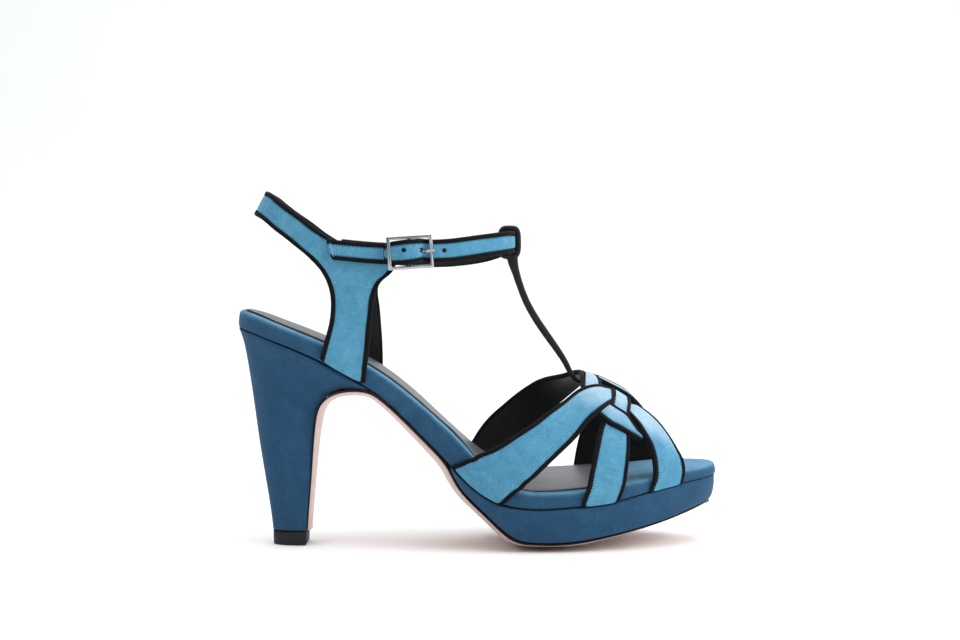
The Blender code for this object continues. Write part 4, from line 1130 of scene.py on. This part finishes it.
@dataclass(frozen=True)
class AnkleFastening:
    """The tab that holds the buckle and the long strap that goes round to it."""

    tab_wall: float = 1.8
    tab_steps: int = 40
    long_wall: float = 2.0
    long_steps: int = 150
    hole_radius: float = 1.05
    hole_depth: float = 9.0
    hole_sides: int = 20
    binding: float = 1.7
    end_pitch: float = 1.25
    end_margin: float = 0.12
    end_rise: float = 0.12
    tab_slant: float = 2.4
    tab_slant_run: float = 14.0
    tab_end: float = 0.03
    long_end: float = 0.012
    end_thread: Thread = Thread(long=0.9, wide=0.36, high=0.3)

    def _tab(self) -> Strap:
        """The tab, whose sewn end is cut at a slant."""
        station, lift = TAB.column("station"), TAB.column("lift")
        slant = self.tab_slant * ease(1 - (station - station[0]) / self.tab_slant_run)
        edges = []
        for name, way in (("low", 1.0), ("high", -1.0)):
            height = TAB.column(name)
            turn = LAST.outer_turn(station + way * slant / 2, height)
            edges.append(np.stack([turn, height], -1))
        low, high = edges
        return self._strap("buckle_tab_strap", low, high, lift, self.tab_wall, self.tab_steps, End.CUT)

    def _long(self) -> Strap:
        """The long strap, from the inner side round the front to the buckle."""
        low, high = (
            np.stack([LONG.column("turn"), LONG.column(name)], -1) for name in ("low", "high")
        )
        lift = LONG.column("lift")
        return self._strap(
            "ankle_long_strap", low, high, lift, self.long_wall, self.long_steps, End.ROUNDED
        )

    def _strap(
        self, name: str, low: Array, high: Array, lift: Array, wall: float, steps: int, end: End
    ) -> Strap:
        """A bound strap round the ankle with a cut first end."""
        ends = (End.CUT, end)
        return Strap(name, Wrap.ANKLE, low, high, lift, wall, steps, ends, binding=self.binding)

    def _punch(self, strap: Object) -> None:
        """Punches the holes through the long strap."""
        for station, height in HOLES.rows:
            turn = LAST.outer_turn(station, height)
            place = to_frame(LAST.ankle(turn, height))
            normal = Vector(LAST.normal(Wrap.ANKLE, turn, height))
            only()
            bpy.ops.mesh.primitive_cylinder_add(
                vertices=self.hole_sides, radius=self.hole_radius * MM, depth=2 * self.hole_depth * MM
            )
            punch = named("punch")
            turned = normal.to_track_quat("Z", "Y").to_matrix().to_4x4()
            punch.matrix_world = Matrix.Translation(place) @ turned
            settle(punch)
            dress(punch, SKY_SUEDE, BINDING, LINING)
            for face in punch.data.polygons:
                face.material_index = 2
            apply_modifier(strap, "BOOLEAN", object=punch, operation="DIFFERENCE", solver="EXACT")
            bpy.data.objects.remove(punch)

    def _end_seam(self, strap: Strap, share: float) -> Stitches:
        """A row of stitches across a sewn end."""
        across = np.linspace(self.end_margin, 1 - self.end_margin, strap.steps)[None, :]
        height = np.full(across.shape, strap.wall + self.end_rise)
        points, normals = strap.lay(strap.rows(np.array([share])), across, height)
        return Stitches.on_path(points[0], normals[0], self.end_pitch)

    def build(self) -> None:
        """Models the tab, the long strap with its holes, and their seams."""
        tab, long = self._tab(), self._long()
        hand_over(tab.build(), "buckle_tab")
        strap = long.build()
        self._punch(strap)
        hand_over(strap, "ankle_strap")
        seams = Thread().sew("fastening_seams", tab.seams() + long.seams(), BLACK_THREAD)
        hand_over(seams, "ankle_strap", stands_for=False)
        ends_sewn = [self._end_seam(tab, self.tab_end), self._end_seam(long, self.long_end)]
        sewn = self.end_thread.sew("fastening_end_seams", ends_sewn, BLUE_THREAD)
        hand_over(sewn, "buckle_tab", stands_for=False)


@dataclass(frozen=True)
class InstepStrap:
    """The narrow strap up the instep, with its loop round the ankle strap."""

    width: float = 6.6
    steps: int = 70
    section: int = 20
    corner: float = 0.55
    loop_low: float = 133.1
    loop_high: float = 143.3
    loop_back: float = 122.0
    loop_front: float = 127.4
    loop_wall: float = 2.7
    loop_corner: float = 0.6
    loop_steps: int = 56
    ring_radius: float = 1.0
    ring_minor: float = 0.5

    def _rounded(self, turn: Array, corner: float) -> tuple[Array, Array]:
        """A rounded square by its turn, from -1 to 1 both ways."""
        cosine, sine = np.cos(turn), np.sin(turn)
        return (
            np.sign(cosine) * np.abs(cosine) ** corner,
            np.sign(sine) * np.abs(sine) ** corner,
        )

    def _strap(self) -> Object:
        """The strap along its path."""
        rows = np.arange(len(INSTEP.rows))
        at = np.linspace(0, len(rows) - 1, self.steps)
        x, y, z, wall = (along(rows, INSTEP.column(name), at) for name in INSTEP.columns)
        dx, dz = np.gradient(x), np.gradient(z)
        size = np.hypot(dx, dz)
        turn = np.arange(self.section) * 2 * np.pi / self.section
        side, thick = self._rounded(turn, self.corner)
        reach = wall[:, None] * thick
        points = np.stack(
            [
                x[:, None] - (dz / size)[:, None] * reach,
                y[:, None] + side * self.width / 2 + 0 * reach,
                z[:, None] + (dx / size)[:, None] * reach,
            ],
            -1,
        )
        strap = rolled_band("instep_strap", points, [0] * self.section, STRAP_LEATHER)
        subdivide(strap, 1)
        return strap

    def _loop(self) -> Object:
        """The loop at the top of the strap."""
        only()
        bpy.ops.mesh.primitive_torus_add(
            major_segments=self.loop_steps,
            minor_segments=self.section,
            major_radius=self.ring_radius,
            minor_radius=self.ring_minor,
        )
        loop = named("instep_loop")
        places = vertex_places(loop)
        round_turn = np.arctan2(places[:, 1], places[:, 0])
        out = np.hypot(places[:, 0], places[:, 1]) - self.ring_radius
        thick, side = self._rounded(np.arctan2(places[:, 2], out), self.corner)
        across, up = self._rounded(round_turn, self.loop_corner)
        grow = self.loop_wall * (1 + thick) / 2
        middle_x = (self.loop_front + self.loop_back) / 2
        middle_z = (self.loop_high + self.loop_low) / 2
        x = middle_x + across * ((self.loop_front - self.loop_back) / 2 + grow)
        z = middle_z + up * ((self.loop_high - self.loop_low) / 2 + grow)
        y = INSTEP.column("side")[-1] + side * self.width / 2
        move_vertices(loop, to_frame(np.stack([x, y, z], -1)))
        dress(loop, STRAP_LEATHER)
        bpy.ops.object.mode_set(mode="EDIT")
        bpy.ops.mesh.select_all(action="SELECT")
        bpy.ops.mesh.normals_make_consistent(inside=False)
        bpy.ops.object.mode_set(mode="OBJECT")
        subdivide(loop, 1)
        return loop

    def build(self) -> None:
        """Models the strap and its loop."""
        hand_over(self._strap(), "t_strap")
        hand_over(self._loop(), "t_strap")


@dataclass(frozen=True)
class Buckle:
    """The square buckle on the outer side, fastened."""

    station: float = 78.65
    height: float = 134.4
    long: float = 21.0
    wide: float = 14.9
    bar: float = 1.5
    deep: float = 1.5
    off: float = 5.9
    roll: float = 3.0
    yaw: float = 12.0
    ease_edge: float = 0.42
    edge_segments: int = 3
    bar_radius: float = 0.7
    bar_drop: float = 1.4
    bar_knee: float = 1.0
    prong_radius: float = 0.78
    prong_path: tuple[tuple[float, float], ...] = (
        (0.9, -1.4),
        (4.2, -1.2),
        (6.4, 0.1),
        (8.4, 1.5),
        (10.9, 1.5),
    )
    eye_wall: float = 0.5
    fold_radius: float = 1.9
    fold_half: float = 4.0
    rod_resolution: int = 4
    ring_sides: int = 24
    frame_smooth: float = 35.0
    round_smooth: float = 40.0

    def _place(self) -> Matrix:
        """The buckle's own frame: along the strap, up, and off the foot."""
        turn = LAST.outer_turn(self.station, self.height)
        foot = LAST.ankle(turn, self.height)
        normal = LAST.normal(Wrap.ANKLE, turn, self.height)
        out = Vector((normal[0], normal[1], 0.0)).normalized()
        rise = Vector((0.0, 0.0, 1.0))
        ahead = out.cross(rise)
        ahead = -ahead if ahead.x < 0 else ahead
        turned = math.radians(self.yaw)
        ahead, out = (
            ahead * math.cos(turned) - out * math.sin(turned),
            out * math.cos(turned) + ahead * math.sin(turned),
        )
        rolled = math.radians(self.roll)
        ahead, rise = (
            ahead * math.cos(rolled) + rise * math.sin(rolled),
            rise * math.cos(rolled) - ahead * math.sin(rolled),
        )
        axes = Matrix((ahead, rise, out)).transposed().to_4x4()
        middle = Vector(to_frame(foot + np.array(out) * self.off))
        return Matrix.Translation(middle) @ axes

    def _frame(self) -> Object:
        """The square frame with its middle bar."""
        only()
        bpy.ops.mesh.primitive_plane_add(size=1.0)
        frame = named("buckle_square")
        frame.scale = (self.long * MM, self.wide * MM, 1.0)
        settle(frame)
        bpy.ops.object.mode_set(mode="EDIT")
        bpy.ops.mesh.select_all(action="SELECT")
        bpy.ops.mesh.inset(thickness=self.bar * MM)
        bpy.ops.mesh.delete(type="FACE")
        bpy.ops.mesh.select_all(action="SELECT")
        bpy.ops.mesh.extrude_region_move(TRANSFORM_OT_translate={"value": (0, 0, self.deep * MM)})
        bpy.ops.mesh.select_all(action="SELECT")
        bpy.ops.transform.translate(value=(0, 0, -self.deep * MM / 2))
        bpy.ops.mesh.normals_make_consistent(inside=False)
        bpy.ops.object.mode_set(mode="OBJECT")
        apply_modifier(
            frame,
            "BEVEL",
            width=self.ease_edge * MM,
            segments=self.edge_segments,
            limit_method="ANGLE",
        )
        end, knee = (self.wide - self.bar) / 2, self.wide / 2 - self.bar - self.bar_knee
        cranked = ((-end, 0.0), (-knee, -self.bar_drop), (knee, -self.bar_drop), (end, 0.0))
        path = [(0.0, side, out) for side, out in cranked]
        bar = self._rod("buckle_middle_bar", path, self.bar_radius)
        only(frame, bar)
        bpy.ops.object.join()
        dress(frame, NICKEL)
        only(frame)
        bpy.ops.object.shade_smooth_by_angle(angle=math.radians(self.frame_smooth))
        return frame

    def _rod(self, name: str, path: list[tuple[float, float, float]], radius: float) -> Object:
        """A round rod along a path in the buckle's own frame.

        Args:
            name: The object's name.
            path: Points in millimetres: along the strap, up, and off the foot.
            radius: The rod's radius in millimetres.

        Returns:
            The rod.
        """
        only()
        bpy.ops.curve.primitive_bezier_curve_add()
        rod = named(name)
        spline = rod.data.splines[0]
        spline.bezier_points.add(len(path) - len(spline.bezier_points))
        for knot, place in zip(spline.bezier_points, path):
            knot.co = Vector(place) * MM
            knot.handle_left_type = knot.handle_right_type = "AUTO"
        rod.data.bevel_depth = radius * MM
        rod.data.bevel_resolution = self.rod_resolution
        rod.data.use_fill_caps = True
        only(rod)
        bpy.ops.object.convert(target="MESH")
        return bpy.context.active_object

    def _prong(self) -> Object:
        """The prong: an eye round the middle bar and a rod over the front bar."""
        path = [(ahead, 0.0, out) for ahead, out in self.prong_path]
        rod = self._rod("buckle_pin", path, self.prong_radius)
        only()
        bpy.ops.mesh.primitive_torus_add(
            location=(0.0, 0.0, -self.bar_drop * MM),
            rotation=(math.pi / 2, 0.0, 0.0),
            major_segments=self.ring_sides,
            minor_segments=self.ring_sides // 2,
            major_radius=(self.bar_radius + self.eye_wall) * MM,
            minor_radius=self.eye_wall * MM,
        )
        eye = named("buckle_pin_eye")
        settle(eye)
        only(rod, eye)
        bpy.ops.object.join()
        dress(rod, NICKEL)
        only(rod)
        bpy.ops.object.shade_smooth_by_angle(angle=math.radians(self.round_smooth))
        return rod

    def _fold(self) -> Object:
        """The end of the tab, folded round the middle bar."""
        only()
        bpy.ops.mesh.primitive_cylinder_add(
            vertices=self.ring_sides,
            radius=self.fold_radius * MM,
            depth=2 * self.fold_half * MM,
            location=(0.0, 0.0, -self.bar_drop * MM),
            rotation=(math.pi / 2, 0.0, 0.0),
        )
        fold = named("buckle_tab_fold")
        settle(fold)
        apply_modifier(fold, "BEVEL", width=self.ease_edge * MM, segments=self.edge_segments)
        dress(fold, BINDING)
        only(fold)
        bpy.ops.object.shade_smooth_by_angle(angle=math.radians(self.round_smooth))
        return fold

    def build(self) -> None:
        """Models the frame, the prong and the fold of the tab and sets them on the strap."""
        for piece, node in (
            (self._frame(), "buckle_frame"),
            (self._prong(), "buckle_prong"),
            (self._fold(), "buckle_tab"),
        ):
            piece.matrix_world = self._place() @ piece.matrix_world
            settle(piece)
            hand_over(piece, node)


@dataclass(frozen=True)
class Sole:
    """The heel, the platform, the insole with its sock, the outsole and the top lift."""

    nodes: dict
    merge: float = 1e-5
    sharp: float = 38.0
    levels: int = 2
    edge_turn: float = 0.7
    hard_crease: float = 0.85
    heel_crease: float = 0.7
    platform_crease: float = 0.6
    soft_crease: float = 0.15
    painted_light_range: tuple[float, float] = (0.12, 0.92)
    rim_out: float = 0.45
    rim_below: float = -0.1
    rim_least: float = 0.3
    seat_up: float = 0.26
    seat_turn: float = 0.5
    toe_station: float = 150.0
    sock_back: float = 4.2
    sock_front: float = 163.0
    sock_bow: float = 4.0
    sock_inset: float = 4.5
    sock_wall: float = 0.6
    # Stations where the sock's painted shade is full and where it has given way to its paler colours.
    sock_shade_station: float = 40.0
    sock_light_station: float = 115.0
    sock_steps: int = 90
    sock_across: int = 16
    sock_least: float = 0.2
    sock_segments: int = 2

    def _copy(self, node: str, name: str, crease: float) -> Object:
        """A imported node's copy: welded, its quads restored and its sharp edges creased.

        Args:
            node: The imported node.
            name: The copy's name.
            crease: How sharp its sharp edges stay.

        Returns:
            The copy.
        """
        obj = bpy.data.objects.new(name, self.nodes[node].data.copy())
        obj.data.name = name
        bpy.context.scene.collection.objects.link(obj)
        only(obj)
        bpy.ops.mesh.customdata_custom_splitnormals_clear()
        bpy.ops.object.mode_set(mode="EDIT")
        bpy.ops.mesh.select_all(action="SELECT")
        bpy.ops.mesh.remove_doubles(threshold=self.merge)
        bpy.ops.mesh.tris_convert_to_quads(face_threshold=math.pi, shape_threshold=math.pi)
        bpy.ops.mesh.select_all(action="DESELECT")
        bpy.ops.mesh.select_mode(type="EDGE")
        bpy.ops.mesh.edges_select_sharp(sharpness=math.radians(self.sharp))
        bpy.ops.transform.edge_crease(value=crease)
        bpy.ops.mesh.select_mode(type="VERT")
        bpy.ops.object.mode_set(mode="OBJECT")
        return obj

    def _outsole(self) -> Object:
        """The outsole, with its cut edge inked."""
        obj = self._copy("outsole", "outsole_leather", self.hard_crease)
        dress(obj, SOLE_LEATHER, EDGE_INK)
        toe = to_frame(np.array([self.toe_station, 0.0, 0.0]))[0]
        for face in obj.data.polygons:
            turned = abs(face.normal.y) > self.edge_turn
            at_toe = face.center.x > toe and face.normal.x > self.edge_turn
            face.material_index = int(turned or at_toe)
        subdivide(obj, self.levels)
        return obj

    def _fill_rim(self, obj: Object) -> None:
        """Moves the lower edge of the insole's rim out, so that its seam is a fine line."""
        normals = np.array([vertex.normal for vertex in obj.data.vertices])
        flat = np.linalg.norm(normals[:, :2], axis=1)
        edge = (normals[:, 2] < self.rim_below) & (flat > self.rim_least)
        places = vertex_places(obj)
        places[edge, :2] += normals[edge, :2] / flat[edge, None] * self.rim_out * MM
        move_vertices(obj, places)

    def _raise_seat(self, obj: Object) -> None:
        """Moves the top of the heel or the platform up to the insole, for the same seam."""
        up = np.array([vertex.normal.z for vertex in obj.data.vertices])
        places = vertex_places(obj)
        places[up > self.seat_turn, 2] += self.seat_up * MM
        move_vertices(obj, places)

    def _insole(self) -> Object:
        """The insole, with a painted highlight where it faces up."""
        obj = self._copy("insole", "insole_wrap", self.soft_crease)
        self._fill_rim(obj)
        subdivide(obj, self.levels)
        dress(obj, FOOTBED_SUEDE)
        # Painted highlight on the footbed where it faces up.
        paint_light_by_facing(obj, (0.0, 0.0, 1.0), self.painted_light_range)
        return obj

    def _sock(self) -> Object:
        """The sock lining on the footbed, from the heel to the ball of the foot."""
        only()
        bpy.ops.mesh.primitive_grid_add(
            x_subdivisions=self.sock_steps, y_subdivisions=self.sock_across, size=1.0
        )
        sock = named("insole_sock")
        grid = vertex_places(sock)
        across = 2 * grid[:, 1]
        front = self.sock_front + self.sock_bow * (1 - across**2)
        share = grid[:, 0] + 0.5
        station = self.sock_back + share * (front - self.sock_back)
        half = np.maximum(LAST.half_width(station) - self.sock_inset, self.sock_least)
        side = SOLE.read("middle", station) + across * half
        height = LAST.footbed(station, side) + self.sock_wall
        move_vertices(sock, to_frame(np.stack([station, side, height], -1)))
        # Painted shade: the sock is dark at the heel and waist and turns paler towards the ball.
        note_painted_light(sock, (station - self.sock_shade_station) / (self.sock_light_station - self.sock_shade_station))
        dress(sock, SOCK_LEATHER)
        apply_modifier(sock, "SOLIDIFY", thickness=self.sock_wall * MM, offset=-1.0)
        edge = self.sock_wall * MM / 2
        apply_modifier(sock, "BEVEL", width=edge, segments=self.sock_segments, limit_method="ANGLE")
        only(sock)
        bpy.ops.object.shade_smooth()
        return sock

    def build(self) -> None:
        """Models each layer of the sole from the floor up."""
        for node, name, crease, finish in (
            ("top_lift", "top_lift_rubber", self.hard_crease, RUBBER),
            ("heel", "heel_wrap", self.heel_crease, PETROL_SUEDE),
            ("platform", "platform_wrap", self.platform_crease, PETROL_SUEDE),
        ):
            piece = self._copy(node, name, crease)
            if finish is PETROL_SUEDE:
                self._raise_seat(piece)
            subdivide(piece, self.levels)
            dress(piece, finish)
            hand_over(piece, node)
        hand_over(self._insole(), "insole")
        hand_over(self._outsole(), "outsole")
        hand_over(self._sock(), "insole", stands_for=False)


@dataclass(frozen=True)
class Light:
    """A soft box."""

    name: str
    place: tuple[float, float, float]
    size: tuple[float, float]
    watts: float

    def hang(self, aim: Vector) -> None:
        """Hangs the light, turned to its aim."""
        bpy.ops.object.light_add(type="AREA", location=self.place)
        lamp = named(self.name)
        lamp.data.shape = "RECTANGLE"
        lamp.data.size, lamp.data.size_y = self.size
        lamp.data.energy = self.watts
        lamp.rotation_euler = (aim - Vector(self.place)).to_track_quat("-Z", "Y").to_euler()


@dataclass(frozen=True)
class Studio:
    """A white sweep of paper, soft boxes and the camera at the photograph's place."""

    eye: tuple[float, float, float] = (123.08, -999.93, 147.95)
    azimuth: float = 0.7
    pitch: float = 2.6
    tilt: float = -0.5
    lens: float = 81.5
    sensor: float = 36.0
    paper: float = 4.0
    paper_rise: float = 2.0
    paper_round: float = 0.8
    paper_segments: int = 16
    aim: tuple[float, float, float] = (0.0, 0.0, 0.06)
    sky: tuple[tuple[float, str], ...] = (
        (0.0, "e6e6e6"),
        (0.55, "ffffff"),
        (0.6, "6a6a6a"),
        (0.68, "6a6a6a"),
        (0.74, "ffffff"),
        (1.0, "f0f0f0"),
    )
    sky_strength: float = 0.62
    lights: tuple[Light, ...] = (
        Light("top_box", (0.1, 0.1, 1.5), (2.4, 2.2), 28.0),
        Light("left_box", (-1.2, -0.9, 0.9), (1.0, 1.0), 3.0),
        Light("right_box", (1.3, -0.5, 0.75), (1.0, 1.0), 15.0),
    )

    def _camera(self) -> None:
        """The camera."""
        a, p, r = (math.radians(k) for k in (self.azimuth, self.pitch, self.tilt))
        view = Vector((-math.sin(a) * math.cos(p), math.cos(a) * math.cos(p), -math.sin(p)))
        level = Vector((math.cos(a), math.sin(a), 0.0))
        over = level.cross(view)
        right = math.cos(r) * level + math.sin(r) * over
        up = -math.sin(r) * level + math.cos(r) * over
        bpy.ops.object.camera_add()
        camera = named("camera")
        axes = Matrix((right, up, -view)).transposed().to_4x4()
        camera.matrix_world = Matrix.Translation(to_frame(np.array(self.eye))) @ axes
        camera.data.lens = self.lens
        camera.data.sensor_width = self.sensor
        bpy.context.scene.camera = camera

    def _paint_sky(self, tree: bpy.types.NodeTree) -> None:
        """Paints the room: white, with a grey band over the horizon that metal can mirror."""
        way = add_node(tree, "ShaderNodeTexCoord")
        parts = add_node(tree, "ShaderNodeSeparateXYZ", None, {0: way.outputs["Generated"]})
        span = {"From Min": -1.0, "From Max": 1.0}
        share = add_node(tree, "ShaderNodeMapRange", span, {"Value": parts.outputs["Z"]})
        ramp = add_node(tree, "ShaderNodeValToRGB", None, {"Fac": share.outputs["Result"]})
        stops = ramp.color_ramp.elements
        for _ in self.sky[len(stops) :]:
            stops.new(0.5)
        for stop, (spot, colour) in zip(stops, self.sky):
            stop.position, stop.color = spot, linear(colour)
        tree.links.new(ramp.outputs["Color"], tree.nodes["Background"].inputs["Color"])
        tree.nodes["Background"].inputs["Strength"].default_value = self.sky_strength

    def _sweep(self) -> None:
        """The paper: a sheet on the floor that curves up behind the sandal."""
        only()
        bpy.ops.mesh.primitive_plane_add(size=self.paper)
        paper = named("paper_sweep")
        bpy.ops.object.mode_set(mode="EDIT")
        bpy.ops.mesh.select_mode(type="EDGE")
        bpy.ops.mesh.select_all(action="DESELECT")
        bpy.ops.object.mode_set(mode="OBJECT")
        for edge in paper.data.edges:
            edge.select = all(paper.data.vertices[k].co.y > 0 for k in edge.vertices)
        bpy.ops.object.mode_set(mode="EDIT")
        bpy.ops.mesh.extrude_region_move(TRANSFORM_OT_translate={"value": (0, 0, self.paper_rise)})
        bpy.ops.mesh.select_all(action="DESELECT")
        bpy.ops.object.mode_set(mode="OBJECT")
        for edge in paper.data.edges:
            ends = [paper.data.vertices[k].co for k in edge.vertices]
            edge.select = all(end.y > 0 and end.z == 0 for end in ends)
        bpy.ops.object.mode_set(mode="EDIT")
        bpy.ops.mesh.bevel(offset=self.paper_round, segments=self.paper_segments)
        bpy.ops.object.mode_set(mode="OBJECT")
        only(paper)
        bpy.ops.object.shade_smooth()
        dress(paper, PAPER)

    def build(self) -> None:
        """Sets up the paper, the lights, the sky and the camera."""
        self._sweep()
        for light in self.lights:
            light.hang(Vector(self.aim))
        world = bpy.data.worlds.new("studio")
        world.use_nodes = True
        self._paint_sky(world.node_tree)
        bpy.context.scene.world = world
        bpy.context.scene.view_settings.view_transform = "Standard"
        self._camera()


def main() -> None:
    """Loads the packed sandal and dresses it."""
    logging.basicConfig(level=logging.INFO, format="%(name)s %(message)s")
    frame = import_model()
    Studio().build()
    for assembly in (
        Sole(frame["nodes"]),
        Vamp(),
        Quarter(),
        AnkleFastening(),
        InstepStrap(),
        Buckle(),
    ):
        assembly.build()
        LOG.info("%s done", type(assembly).__name__)


if __name__ == "__main__":
    main()
